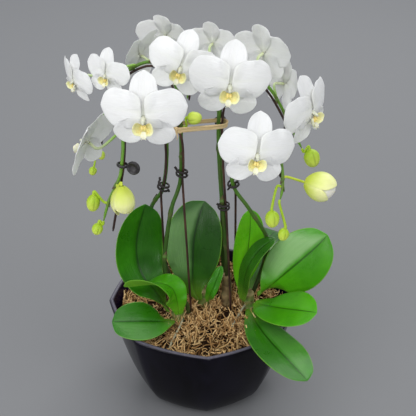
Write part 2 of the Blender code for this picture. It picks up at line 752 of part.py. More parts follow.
def make_flower_mesh(finish):
    """Sepals and petals as one shallow shell, one span wide, facing +Z with the dorsal sepal at +Y."""
    bm = bmesh.new()
    front_rows, back_rows = [], []
    for share in (0.45, 1.0):
        front, back = [], []
        for k in range(FLOWER_POINTS):
            angle = 0.5 * math.pi + 2 * math.pi * k / FLOWER_POINTS
            reach = share * flower_outline(angle)
            x, y = reach * math.cos(angle), reach * math.sin(angle)
            z = -FLOWER_REFLEX * reach**2 / 0.5
            front.append(bm.verts.new((x, y, z + TEPAL_THICKNESS / 2)))
            back.append(bm.verts.new((x, y, z - TEPAL_THICKNESS / 2)))
        front_rows.append(front)
        back_rows.append(back)
    front_middle = bm.verts.new((0, 0, TEPAL_THICKNESS / 2))
    back_middle = bm.verts.new((0, 0, -TEPAL_THICKNESS / 2))
    for k in range(FLOWER_POINTS):
        after = (k + 1) % FLOWER_POINTS
        bm.faces.new((front_middle, front_rows[0][k], front_rows[0][after]))
        bm.faces.new((back_middle, back_rows[0][after], back_rows[0][k]))
        bm.faces.new((front_rows[0][k], front_rows[1][k], front_rows[1][after], front_rows[0][after]))
        bm.faces.new((back_rows[0][k], back_rows[0][after], back_rows[1][after], back_rows[1][k]))
        bm.faces.new((front_rows[1][k], back_rows[1][k], back_rows[1][after], front_rows[1][after]))
    return add_object("flower_shell", bm, finish)


def make_lip_helper(finish):
    """The lip and column of a flower one span wide, as one rounded lump."""
    bm = bmesh.new()
    size = Matrix.Diagonal((*LIP_SIZE, 1.0))
    bmesh.ops.create_uvsphere(bm, u_segments=8, v_segments=5, radius=0.5)
    bmesh.ops.transform(bm, matrix=Matrix.Translation(LIP_CENTRE) @ size, verts=bm.verts)
    return add_object("lip_helper", bm, finish)


def facing(turn, raised, roll):
    """Rotation that turns a flower from facing +Z to its own direction."""
    turn, raised, roll = (math.radians(a) for a in (turn, raised, roll))
    level = math.cos(raised)
    forward = Vector((math.sin(turn) * level, -math.cos(turn) * level, math.sin(raised)))
    up = square_to((0, 0, 1), forward)
    right = up.cross(forward)
    upright = Matrix((right, up, forward)).transposed()
    return upright @ Matrix.Rotation(roll, 3, "Z")


def pedicel_route(spike, share, end, arrive_from):
    """A flower's own stalk: square off its spike, then round to the back of the flower."""
    route = spike_route(spike)
    point = point_along(route, share)
    along = direction_along(route, share)
    out = along if share == 1.0 else square_to(arrive_from - point, along)
    clear = 2 * GAP if share == 1.0 else spike_radius(share) + 2 * GAP
    start = point + out * clear
    near = start + out * 0.004
    return smooth_route([start, near, arrive_from, end], 6)


def make_flower(name, plan, shell_mesh, lip_mesh, petal, stalk):
    turned = facing(plan["turn"], plan["raised"], plan["roll"])
    centre = above_medium(plan["centre"])
    place = Matrix.Translation(centre) @ turned.to_4x4() @ Matrix.Scale(plan["span"], 4)
    flower = bpy.data.objects.new(name, shell_mesh)
    bpy.context.scene.collection.objects.link(flower)
    flower.matrix_world = place
    lip = bpy.data.objects.new(f"{name}_lip_helper", lip_mesh)
    bpy.context.scene.collection.objects.link(lip)
    lip.matrix_world = place
    join_to(flower, lip)
    forward = turned @ Vector((0, 0, 1))
    route = pedicel_route(plan["spike"], plan["at"], centre, centre - 0.011 * forward)
    pedicel = tube(f"{name}_pedicel_helper", route, PEDICEL_RADIUS, 1.2 * PEDICEL_RADIUS, 5, stalk)
    join_to(flower, pedicel)


def bud_rings(plan, profile, sides):
    """Rings of a bud along the way it points. The profile lists shares of its length and half width."""
    along = Vector(plan["points"]).normalized()
    side = square_to((0.3, -0.9, 0.2), along)
    across = along.cross(side)
    rings = []
    for rise, reach in profile:
        middle = above_medium(plan["centre"]) + along * (rise - 0.5) * plan["length"]
        radius = 0.5 * plan["width"] * reach
        turns = [2 * math.pi * k / sides for k in range(sides)]
        rings.append([middle + radius * (math.cos(t) * side + math.sin(t) * across) for t in turns])
    return rings


CLOSED_BUD = ((0.0, 0.35), (0.12, 0.80), (0.35, 1.0), (0.62, 0.97), (0.85, 0.68), (1.0, 0.20))
OPENING_BUD = (
    (0.0, 0.30), (0.10, 0.74), (0.30, 0.98), (0.60, 1.00), (0.85, 0.84), (1.0, 0.58),
    (0.96, 0.46), (0.62, 0.36),
)


def make_bud(name, plan, profile, sides, finish, stalk):
    bud = add_object(name, loft(bud_rings(plan, profile, sides)), finish)
    centre = above_medium(plan["centre"])
    along = Vector(plan["points"]).normalized()
    end = centre - along * (0.5 - 0.12) * plan["length"]
    before = centre - along * (0.5 * plan["length"] + 0.003)
    route = pedicel_route(plan["spike"], plan["at"], end, before)
    radius = min(PEDICEL_RADIUS, 0.10 * plan["width"])
    join_to(bud, tube(f"{name}_pedicel_helper", route, radius, radius, 5, stalk))


# ---- The whole object ---------------------------------------------------------------------------


def clear_scene():
    for old in list(bpy.data.objects):
        bpy.data.objects.remove(old, do_unlink=True)


def build():
    clear_scene()
    glaze = material("navy_glaze", (0.010, 0.009, 0.022), 0.12)
    fibre = material("coir_fibre", (0.55, 0.38, 0.20), 0.9)
    leaf_green = material("leaf_green", (0.06, 0.22, 0.03), 0.35)
    sheath_brown = material("sheath_brown", (0.16, 0.11, 0.05), 0.8)
    stem_green = material("stem_green", (0.12, 0.28, 0.05), 0.5)
    petal_white = material("petal_white", (0.90, 0.90, 0.88), 0.55)
    bud_green = material("bud_green", (0.55, 0.70, 0.16), 0.5)
    wire_brown = material("wire_brown", (0.035, 0.018, 0.018), 0.5)
    tie_black = material("tie_black", (0.02, 0.015, 0.018), 0.6)
    raffia_tan = material("raffia_tan", (0.72, 0.55, 0.30), 0.7)

    make_bowl(glaze)
    medium = make_medium(fibre)
    for plant in PLANTS:
        make_stem(plant, sheath_brown if plant == "sheathed" else stem_green, medium)
    for name, plan in LEAVES.items():
        make_leaf(name, plan, leaf_green)
    for spike, plan in SPIKES.items():
        tube(f"spike_{spike}", spike_route(spike), SPIKE_RADIUS, SPIKE_TIP_RADIUS, 6, stem_green)
        wire = wire_route(spike)
        tube(f"wire_{spike}", wire, WIRE_RADIUS, WIRE_RADIUS, 6, wire_brown)
        foot = wire[0] + (wire[0] - wire[1]).normalized() * GAP
        wider = WIRE_RADIUS + 2 * GAP
        hole = tube(f"wire_hole_{spike}", [foot, *wire[1:3]], wider, wider, 6, fibre)
        join_to(medium, hole, "DIFFERENCE")
        for k, share in enumerate(plan["ties"]):
            if (spike, k) == ("left_front", 1):
                make_button_clip(spike, share, tie_black)
            else:
                make_tie(f"tie_{spike}_{k + 1}", spike, share, tie_black)
    make_raffia(raffia_tan)
    shell, lip = make_flower_mesh(petal_white), make_lip_helper(petal_white)
    for name, plan in FLOWERS.items():
        make_flower(name, plan, shell.data, lip.data, petal_white, stem_green)
    bpy.data.objects.remove(shell)
    bpy.data.objects.remove(lip)
    for name, plan in BUDS.items():
        make_bud(name, plan, CLOSED_BUD, 8, bud_green, stem_green)
    for name, plan in OPENING_BUDS.items():
        make_bud(name, plan, OPENING_BUD, 10, bud_green, stem_green)


build()
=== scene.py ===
# Potted moth orchid: the looks of three plants in a soft eight-sided bowl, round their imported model.
# Metres, +Z up. The origin is the middle of the bowl's underside, and the front is -Y.
import json
import math
import random

import bpy
from mathutils import Matrix, Vector

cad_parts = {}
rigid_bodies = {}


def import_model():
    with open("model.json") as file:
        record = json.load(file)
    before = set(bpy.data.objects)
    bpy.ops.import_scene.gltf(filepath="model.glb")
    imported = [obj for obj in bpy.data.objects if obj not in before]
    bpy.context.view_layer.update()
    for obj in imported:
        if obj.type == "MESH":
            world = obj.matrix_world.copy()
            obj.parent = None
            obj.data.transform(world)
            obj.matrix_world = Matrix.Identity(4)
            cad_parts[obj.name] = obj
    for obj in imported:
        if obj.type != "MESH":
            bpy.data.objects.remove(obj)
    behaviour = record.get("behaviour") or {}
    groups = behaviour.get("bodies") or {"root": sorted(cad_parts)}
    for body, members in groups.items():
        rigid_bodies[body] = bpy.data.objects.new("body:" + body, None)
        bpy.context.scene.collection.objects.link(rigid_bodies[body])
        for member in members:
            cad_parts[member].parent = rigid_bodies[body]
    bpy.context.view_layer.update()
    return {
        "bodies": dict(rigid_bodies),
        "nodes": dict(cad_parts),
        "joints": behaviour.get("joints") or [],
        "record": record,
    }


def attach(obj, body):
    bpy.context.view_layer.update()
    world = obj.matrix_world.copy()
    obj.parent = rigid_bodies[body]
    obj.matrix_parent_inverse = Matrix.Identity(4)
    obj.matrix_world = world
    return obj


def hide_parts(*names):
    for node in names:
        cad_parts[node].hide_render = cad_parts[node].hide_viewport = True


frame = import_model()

# ---- Camera -------------------------------------------------------------------------------------
# A long lens from the front, a little above the flowers, that looks down on the plants and into the
# bowl. The picture is square.

CAMERA_PLACE = (0.005, -0.72, 0.6605)
LOOKS_DOWN = math.radians(31.6)
SENSOR_WIDTH = 36.0
ANGLE_OF_VIEW = math.radians(27.5)

lens = bpy.data.cameras.new("camera")
lens.sensor_width = SENSOR_WIDTH
lens.lens = 0.5 * SENSOR_WIDTH / math.tan(0.5 * ANGLE_OF_VIEW)
camera = bpy.data.objects.new("camera", lens)
camera.location = CAMERA_PLACE
camera.rotation_euler = (0.5 * math.pi - LOOKS_DOWN, 0.0, 0.0)
bpy.context.scene.collection.objects.link(camera)
bpy.context.scene.camera = camera

# ---- Bowl ---------------------------------------------------------------------------------------
# Slip-cast stoneware with eight soft corners, dipped in a near-black navy glaze. The rounded rim is painted
# paler along its top: the glaze runs thin there, and a highlight is painted along it. The glaze pulls back
# from the foot ring that the bowl stands on.

RIM_RADIUS = 0.100
FOOT_RADIUS = 0.052
BOWL_HEIGHT = 0.108
BOWL_WALL = 0.005
BOWL_CORNERS = 8
BOWL_FACETING = 0.55
BOWL_FLARE = 0.42
FIRST_CORNER = math.radians(-87)
BOWL_POINTS = 128
MEDIUM_EDGE = 0.0915  # height of the planting medium where it meets the bowl


def maths(operation, swapped=False):
    """A way to join two tones, or a tone and a number, with one Math node."""

    def joined(self, other=0.0):
        first, second = (other, self) if swapped else (self, other)
        return self.finish.node("ShaderNodeMath", {"operation": operation}, {0: first, 1: second})

    return joined


class Tone:
    """A value that varies over a surface. An expression on tones adds its Math nodes."""

    def __init__(self, finish, socket):
        self.finish = finish
        self.socket = socket

    __add__, __radd__ = maths("ADD"), maths("ADD", True)
    __sub__, __rsub__ = maths("SUBTRACT"), maths("SUBTRACT", True)
    __mul__, __rmul__ = maths("MULTIPLY"), maths("MULTIPLY", True)
    __pow__, __abs__ = maths("POWER"), maths("ABSOLUTE")


class Finish:
    """A material round its Principled shader. Constants go straight on the shader's sockets."""

    def __init__(self, name, specular, constants=(), flesh=()):
        """Flesh is how much light goes into the tissue, how far for each colour, and its scale."""
        self.material = bpy.data.materials.new(name)
        self.material.use_nodes = True
        self.tree = self.material.node_tree
        self.shader = self.tree.nodes["Principled BSDF"]
        into = [f"Subsurface {word}" for word in ("Weight", "Radius", "Scale")]
        for socket, value in [("Specular IOR Level", specular), *constants, *zip(into, flesh)]:
            self.shader.inputs[socket].default_value = value

    def node(self, kind, settings, inputs, output=0):
        """Adds a node: its settings first, then its sockets' values or links."""
        made = self.tree.nodes.new(kind)
        for name, value in settings.items():
            if name == "stops":
                self.set_stops(made.color_ramp, value)
            else:
                setattr(made, name, value)
        for socket, value in inputs.items():
            if isinstance(value, Tone):
                self.tree.links.new(value.socket, made.inputs[socket])
            else:
                made.inputs[socket].default_value = value
        return Tone(self, made.outputs[output])

    def set_stops(self, ramp, stops):
        for _ in stops[2:]:
            ramp.elements.new(0.5)
        for element, (place, colour) in zip(ramp.elements, stops):
            element.position = place
            element.color = (*colour, 1.0)

    def marks(self, *names):
        """Values that the mesh keeps at each of its points."""
        return [self.node("ShaderNodeAttribute", {"attribute_name": name}, {}, output=2) for name in names]

    def noise(self, scale, detail=3.0, roughness=0.5, distortion=0.0, stretch=(1.0, 1.0, 1.0), flat=None):
        """Cloudy noise over the object, or in the two values of a blade's own width and length."""
        if flat:
            place = self.node("ShaderNodeCombineXYZ", {}, {0: flat[0], 1: flat[1]})
        else:
            own = self.node("ShaderNodeTexCoord", {}, {}, output=3)
            place = self.node("ShaderNodeVectorMath", {"operation": "MULTIPLY"}, {0: own, 1: stretch})
        sockets = {"Vector": place, "Scale": scale, "Detail": detail, "Roughness": roughness}
        return self.node("ShaderNodeTexNoise", {}, {**sockets, "Distortion": distortion})

    def ease(self, value, low, high):
        """0 below low and 1 above high, easing from one to the other."""
        sockets = {"Value": value, "From Min": low, "From Max": high}
        return self.node("ShaderNodeMapRange", {"interpolation_type": "SMOOTHSTEP"}, sockets)

    def mix(self, share, first, second):
        """A colour between two colours."""
        first = first if isinstance(first, Tone) else (*first, 1.0)
        second = second if isinstance(second, Tone) else (*second, 1.0)
        settings = {"data_type": "RGBA", "clamp_factor": True}
        return self.node("ShaderNodeMix", settings, {0: share, 6: first, 7: second}, output=2)

    def ramp(self, value, stops):
        return self.node("ShaderNodeValToRGB", {"stops": stops}, {0: value})

    def feed(self, socket, tone):
        if isinstance(tone, Tone):
            self.tree.links.new(tone.socket, self.shader.inputs[socket])
        else:
            self.shader.inputs[socket].default_value = tone

    def wear(self, colour, roughness, relief, depth, strength=1.0):
        """Gives the surface its colour, its roughness and its fine relief, and ends the finish."""
        self.feed("Base Color", colour)
        self.feed("Roughness", roughness)
        sockets = {"Strength": strength, "Distance": depth, "Height": relief}
        self.feed("Normal", self.node("ShaderNodeBump", {}, sockets))
        return self


class Body:
    """Points and faces gathered for one piece, with named marks kept at each point."""

    def __init__(self):
        self.points = []
        self.faces = []
        self.marks = {}

    def add(self, rings, marks, capped=True, joined=False):
        """Lofts through rings of points. Marks hold a number for each ring, or one for each point."""
        size = len(rings[0])
        first = len(self.points)
        for name, values in marks.items():
            kept = self.marks.setdefault(name, [0.0] * first)
            kept.extend([0.0] * (first - len(kept)))
            for value in values:
                kept.extend(value if isinstance(value, list) else [value] * size)
        for ring in rings:
            self.points.extend(ring)
        rows = [range(first + k * size, first + (k + 1) * size) for k in range(len(rings))]
        pairs = list(zip(rows, rows[1:]))
        if joined:
            pairs.append((rows[-1], rows[0]))
        for low, high in pairs:
            for i in range(size):
                after = (i + 1) % size
                self.faces.append((low[i], low[after], high[after], high[i]))
        if capped and not joined:
            self.faces.append(tuple(reversed(rows[0])))
            self.faces.append(tuple(rows[-1]))

    def piece(self, name, finish, slot, replaces=(), subdivide=0):
        """Makes the object, carries it on the one body, and hides the nodes that it stands for."""
        mesh = bpy.data.meshes.new(name)
        mesh.from_pydata(self.points, [], self.faces)
        for mark, values in self.marks.items():
            values.extend([0.0] * (len(self.points) - len(values)))
            mesh.attributes.new(mark, "FLOAT", "POINT").data.foreach_set("value", values)
        mesh.shade_smooth()
        mesh.materials.append(finish.material)
        made = bpy.data.objects.new(name, mesh)
        bpy.context.scene.collection.objects.link(made)
        if subdivide:
            modifier = made.modifiers.new("smooth", "SUBSURF")
            modifier.levels = subdivide
            modifier.render_levels = subdivide
        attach(made, "root")
        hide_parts(*replaces)
        return made


def heading(turn):
    """The level direction at an angle from +X."""
    return Vector((math.cos(turn), math.sin(turn), 0.0))


def bowl_ring(radius, height):
    """A ring of the bowl's outline. The radius is to a corner."""
    half_side = math.pi / BOWL_CORNERS
    ring = []
    for k in range(BOWL_POINTS):
        from_corner = 2 * math.pi * k / BOWL_POINTS
        flat_side = math.cos(half_side) / math.cos(from_corner % (2 * half_side) - half_side)
        reach = radius * (1 + BOWL_FACETING * (flat_side - 1))
        ring.append(reach * heading(FIRST_CORNER + from_corner) + Vector((0, 0, height)))
    return ring


def bowl_radius(height):
    return FOOT_RADIUS + (RIM_RADIUS - FOOT_RADIUS) * (height / BOWL_HEIGHT) ** BOWL_FLARE


def bowl_profile():
    """Radius and height down the inside of the foot, up the wall, over the rim and down to the medium."""
    foot = [(0.020, 0.0024), (FOOT_RADIUS - 0.0120, 0.0024), (FOOT_RADIUS - 0.0095, 0.0020)]
    foot += [(FOOT_RADIUS - 0.0080, 0.0004), (FOOT_RADIUS - 0.0040, 0.0), (FOOT_RADIUS - 0.0022, 0.0006)]
    steps = 26
    rim = 0.5 * BOWL_WALL
    top = BOWL_HEIGHT - rim
    heights = [0.0025 + (top - 0.0025) * k / steps for k in range(1, steps + 1)]
    wall = [(bowl_radius(height), height) for height in heights]
    turns = [math.pi * k / 8 for k in range(1, 8)]
    over = [(bowl_radius(top) - rim + rim * math.cos(t), top + rim * math.sin(t)) for t in turns]
    inside = [(bowl_radius(height) - BOWL_WALL, height) for height in (top, 0.101, 0.096, 0.089, 0.080)]
    return foot + wall + over + inside


def navy_glaze():
    finish = Finish("navy_glaze", 0.07, [("Coat Roughness", 0.06), ("Coat IOR", 1.4)])
    height, inner = finish.marks("height", "inner")
    pooled = finish.noise(26.0, 4.0, 0.55, 0.6, stretch=(1.0, 1.0, 0.45))
    fine = finish.noise(420.0, 2.0)
    # Painted highlight: the top of the rim is paler, for a highlight along it and the thin glaze there.
    rim_highlight_and_thin_glaze = finish.ease(height, BOWL_HEIGHT - 0.0016, BOWL_HEIGHT - 0.0001)
    colour = finish.mix(finish.ease(pooled, 0.35, 0.70), (0.0022, 0.0018, 0.0032), (0.0050, 0.0042, 0.0090))
    colour = finish.mix(inner * 0.85, colour, (0.014, 0.008, 0.026))
    colour = finish.mix(rim_highlight_and_thin_glaze * (0.25 + 0.4 * fine), colour, (0.20, 0.19, 0.24))
    bare = 1 - finish.ease(height + 0.0006 * pooled, 0.0014, 0.0026)
    colour = finish.mix(bare, colour, (0.24, 0.20, 0.17))
    finish.feed("Coat Weight", 0.09 - 0.09 * bare)
    relief = finish.noise(55.0, 2.0) + 0.06 * fine
    return finish.wear(colour, 0.18 + 0.12 * pooled + 0.5 * bare, relief, 0.0006, 0.35)


profile = bowl_profile()
inner_from = len(profile) - 6
bowl = Body()
bowl.add(
    [bowl_ring(radius, height) for radius, height in profile],
    {
        "height": [height for _, height in profile],
        "inner": [1.0 if k >= inner_from else 0.0 for k in range(len(profile))],
    },
    capped=False,
)
bowl.faces.append(tuple(range(BOWL_POINTS)))
bowl.piece("glazed_bowl", navy_glaze(), "glaze", ["bowl"])

# ---- Planting medium ----------------------------------------------------------------------------
# A low mound of bark and coir, with a loose layer of shredded husk fibre on it. The strands lie every way,
# some curl up, and dark gaps show between them, where the lower strands are painted darker as shade.
# Nothing holds them but their own tangle.

MEDIUM_MOUND = 0.009
SIDE_GAP = 0.0011
STRANDS = 5600
STRAND_LENGTH = (0.0035, 0.0135)
STRAND_RADIUS = (0.00025, 0.00088)
STRAND_BENDS = 5
TUFTS = 105
TUFT_SPREAD = 0.0052
CURLED_UP = 0.08  # the share of the strands that curl up
BROAD = 0.12  # the share of the strands that are broad, and how much broader they are
BROADER = 1.7


def medium_height(x, y):
    share = min(1.0, math.hypot(x, y) / (bowl_radius(MEDIUM_EDGE) - BOWL_WALL))
    return MEDIUM_EDGE + MEDIUM_MOUND * (1 - share**2)


def square_to(vector, axis):
    """The part of a vector at right angles to an axis, one long."""
    vector = Vector(vector)
    return (vector - vector.dot(axis) * axis).normalized()


def oval(middle, wide, tall, count):
    """Points round an oval, from its middle and its two half axes."""
    turns = [2 * math.pi * k / count for k in range(count)]
    return [middle + math.cos(t) * wide + math.sin(t) * tall for t in turns]


def tube_rings(route, radii, sides, start_side=(0.31, 0.95, 0.12), squash=1.0):
    """Rings of points round a route, carried along it without twisting."""
    rings = []
    side = Vector(start_side)
    for before, point, after, reach in zip([route[0], *route], route, [*route[1:], route[-1]], radii):
        along = (after - before).normalized()
        side = square_to(side, along)
        rings.append(oval(point, reach * side, reach * squash * along.cross(side), sides))
    return rings


def medium_finish():
    finish = Finish("bark_and_coir", 0.1)
    clump = finish.noise(90.0, 6.0, 0.65, 0.8)
    stops = [(0.30, (0.006, 0.003, 0.002)), (0.52, (0.024, 0.011, 0.005)), (0.75, (0.10, 0.050, 0.018))]
    return finish.wear(finish.ramp(clump, stops), 0.95, clump, 0.004)


def fibre_finish(name, dark, pale):
    """Dry husk: each strand has its own shade, and is streaked along its length."""
    finish = Finish(name, 0.12)
    streaks = finish.noise(700.0, 2.0)
    [shade] = finish.marks("shade")
    return finish.wear(finish.mix(shade * 0.8 + 0.2 * streaks, dark, pale), 0.80, streaks, 0.0004, 0.6)


def medium_spot(draw):
    """A chance place on the medium, away from the wall."""
    reach = (bowl_radius(MEDIUM_EDGE) - BOWL_WALL - 0.004) * math.sqrt(draw.random())
    return reach * heading(draw.uniform(0.0, 2 * math.pi))


def lay_strand(body, draw, tufts, low, high):
    """One strand: a flat curly shred laid on the mound near a tuft, in a height band above it."""
    point = draw.choice(tufts) + Vector((draw.gauss(0.0, TUFT_SPREAD), draw.gauss(0.0, TUFT_SPREAD), 0.0))
    way = draw.uniform(0.0, 2 * math.pi)
    step = draw.uniform(*STRAND_LENGTH) / STRAND_BENDS
    above = draw.uniform(low, high)
    lift = draw.gauss(0.0, 0.0010)
    if draw.random() < CURLED_UP:
        lift = draw.uniform(0.001, 0.0030)
    curl = draw.gauss(0.0, 0.75)
    limit = 0.93 * (bowl_radius(MEDIUM_EDGE) - BOWL_WALL)
    route = []
    for k in range(STRAND_BENDS + 1):
        inwards = min(1.0, limit / max(1e-6, math.hypot(point.x, point.y)))
        x, y = inwards * point.x, inwards * point.y
        rise = above + lift * k * k / STRAND_BENDS + draw.uniform(-0.0004, 0.0004)
        route.append(Vector((x, y, medium_height(x, y) + max(-0.001, rise))))
        way += curl * draw.uniform(0.2, 1.0)
        point += step * heading(way)
    thick = draw.uniform(*STRAND_RADIUS) * (1.0 if draw.random() < 1 - BROAD else BROADER)
    radii = [thick * (1.0 - 0.55 * abs(2 * k / STRAND_BENDS - 1) ** 3) for k in range(STRAND_BENDS + 1)]
    shade = draw.random()
    flat = draw.uniform(0.30, 0.85)
    lying = (draw.gauss(0.0, 1.0), draw.gauss(0.0, 1.0), draw.gauss(0.0, 0.4))
    body.add(tube_rings(route, radii, 4, lying, flat), {"shade": [shade] * len(route)})


mound = Body()
mound_rings = [bowl_ring(bowl_radius(0.082) - BOWL_WALL - SIDE_GAP, 0.082)]
for share in (1.0, 0.93, 0.85, 0.75, 0.62, 0.48, 0.34, 0.20, 0.07):
    edge = share * (bowl_radius(MEDIUM_EDGE) - BOWL_WALL - SIDE_GAP)
    mound_rings.append([Vector((p.x, p.y, medium_height(p.x, p.y) - 0.0006)) for p in bowl_ring(edge, 0.0)])
mound.add(mound_rings, {})
mound.piece("coir_mound", medium_finish(), "fibre", ["planting_medium"])

straw = random.Random(11)
tuft_spots = [medium_spot(straw) for _ in range(TUFTS)]
# Each layer lower down is painted darker: painted shade in the gaps of the tangle.
LAYERS = (
    ("coir_strands_deep", 0.24, (-0.0008, 0.0010), (0.045, 0.020, 0.007), (0.17, 0.082, 0.026)),
    ("coir_strands_middle", 0.36, (0.0000, 0.0022), (0.26, 0.135, 0.046), (0.62, 0.38, 0.155)),
    ("coir_strands_top", 0.40, (0.0010, 0.0040), (0.46, 0.26, 0.092), (0.95, 0.70, 0.36)),
)
for layer, part_of_all, (low, high), dark, pale in LAYERS:
    strands = Body()
    for _ in range(int(part_of_all * STRANDS)):
        lay_strand(strands, straw, tuft_spots, low, high)
    strands.piece(layer, fibre_finish(layer, dark, pale), "fibre")

# ---- Stems --------------------------------------------------------------------------------------
# Each leafy plant is a short upright stem, hidden in the folded bases of leaves that came before. The
# fourth has lost its leaves: its old sheaths have dried to brown paper and split along their veins.

CROWN_RADIUS = 0.0075
CROWN_RISE = 0.019
SHEATH_RADIUS = 0.0062
SHEATH_RISE = 0.040
STEM_IN_MEDIUM = 0.004

# The plants: the middle of each stem, its radius and how far it stands above the medium
PLANTS = {
    "left": dict(stem="crown_left", place=(-0.0260, -0.0300), radius=CROWN_RADIUS, rise=CROWN_RISE),
    "centre": dict(stem="crown_centre", place=(0.0005, -0.0040), radius=CROWN_RADIUS, rise=CROWN_RISE),
    "right": dict(stem="crown_right", place=(0.0473, -0.0061), radius=CROWN_RADIUS, rise=CROWN_RISE),
    "sheathed": dict(stem="sheathed_stem", place=(0.0245, -0.0060), radius=SHEATH_RADIUS, rise=SHEATH_RISE),
}
STEM_SIDES = 28
STEM_RINGS = 26


def stem_finish(name, young, old, ribs):
    """Sheath upon sheath: each is paler at its torn upper edge and ribbed along its veins."""
    finish = Finish(name, 0.35)
    [tier] = finish.marks("tier")
    rib = finish.noise(420.0, 3.0, stretch=(1.0, 1.0, 0.06))
    patch = finish.noise(120.0, 4.0)
    colour = finish.mix(finish.ease(patch, 0.35, 0.65), young, old)
    colour = finish.mix((tier**3) * 0.7, colour, (0.34, 0.24, 0.11))
    colour = finish.mix(finish.ease(rib, 0.55, 0.75) * ribs, colour, (0.045, 0.028, 0.014))
    return finish.wear(colour, 0.55 + 0.25 * patch, rib, 0.0008)


def make_stem_piece(plan, finish, tiers, slot):
    """A stem in stacked tiers, each flaring towards its own upper edge."""
    x, y = plan["place"]
    low = medium_height(x, y) - STEM_IN_MEDIUM
    high = medium_height(x, y) + plan["rise"]
    rings, tier_marks = [], []
    for k in range(STEM_RINGS + 1):
        share = k / STEM_RINGS
        in_tier = (share * tiers) % 1.0 if k < STEM_RINGS else 0.98
        waist = 1.0 - 0.16 * share
        reach = plan["radius"] * waist * (0.90 + 0.10 * in_tier**2)
        ring = []
        for j in range(STEM_SIDES):
            turn = 2 * math.pi * j / STEM_SIDES
            lobed = 1 - 0.05 * math.cos(2 * turn + 2.2 * math.floor(share * tiers))
            ragged = 0.0012 * in_tier * math.sin(5 * turn + 3 * math.floor(share * tiers))
            ring.append(Vector((x, y, low + (high - low) * share + ragged)) + reach * lobed * heading(turn))
        rings.append(ring)
        tier_marks.append(in_tier)
    stem = Body()
    stem.add(rings, {"tier": tier_marks})
    stem.piece(f"{plan['stem']}_sheaths", finish, slot, [plan["stem"]])


crown_finish = stem_finish("crown_green", (0.10, 0.21, 0.035), (0.20, 0.24, 0.07), 0.15)
husk_finish = stem_finish("dry_sheath", (0.17, 0.13, 0.055), (0.085, 0.050, 0.022), 0.75)
for plant, plan in PLANTS.items():
    kind = (husk_finish, 4, "sheath") if plant == "sheathed" else (crown_finish, 3, "stem")
    make_stem_piece(plan, *kind)

# ---- Leaves -------------------------------------------------------------------------------------
# Thick fleshy straps that clasp the stem in two ranks. The upper side is glossy dark green with a sunk
# midrib, and the rim is a thin paler line. The underside is duller, and keeled along the midrib.

LEAF_THICKNESS = 0.0022
LEAF_BASE_WIDTH = 0.008
LEAF_NECK = 0.25  # the share of a leaf that turns away from clasping its stem
LEAF_STATIONS = 30
LEAF_LANES = 14
CLEARANCE = 0.0003
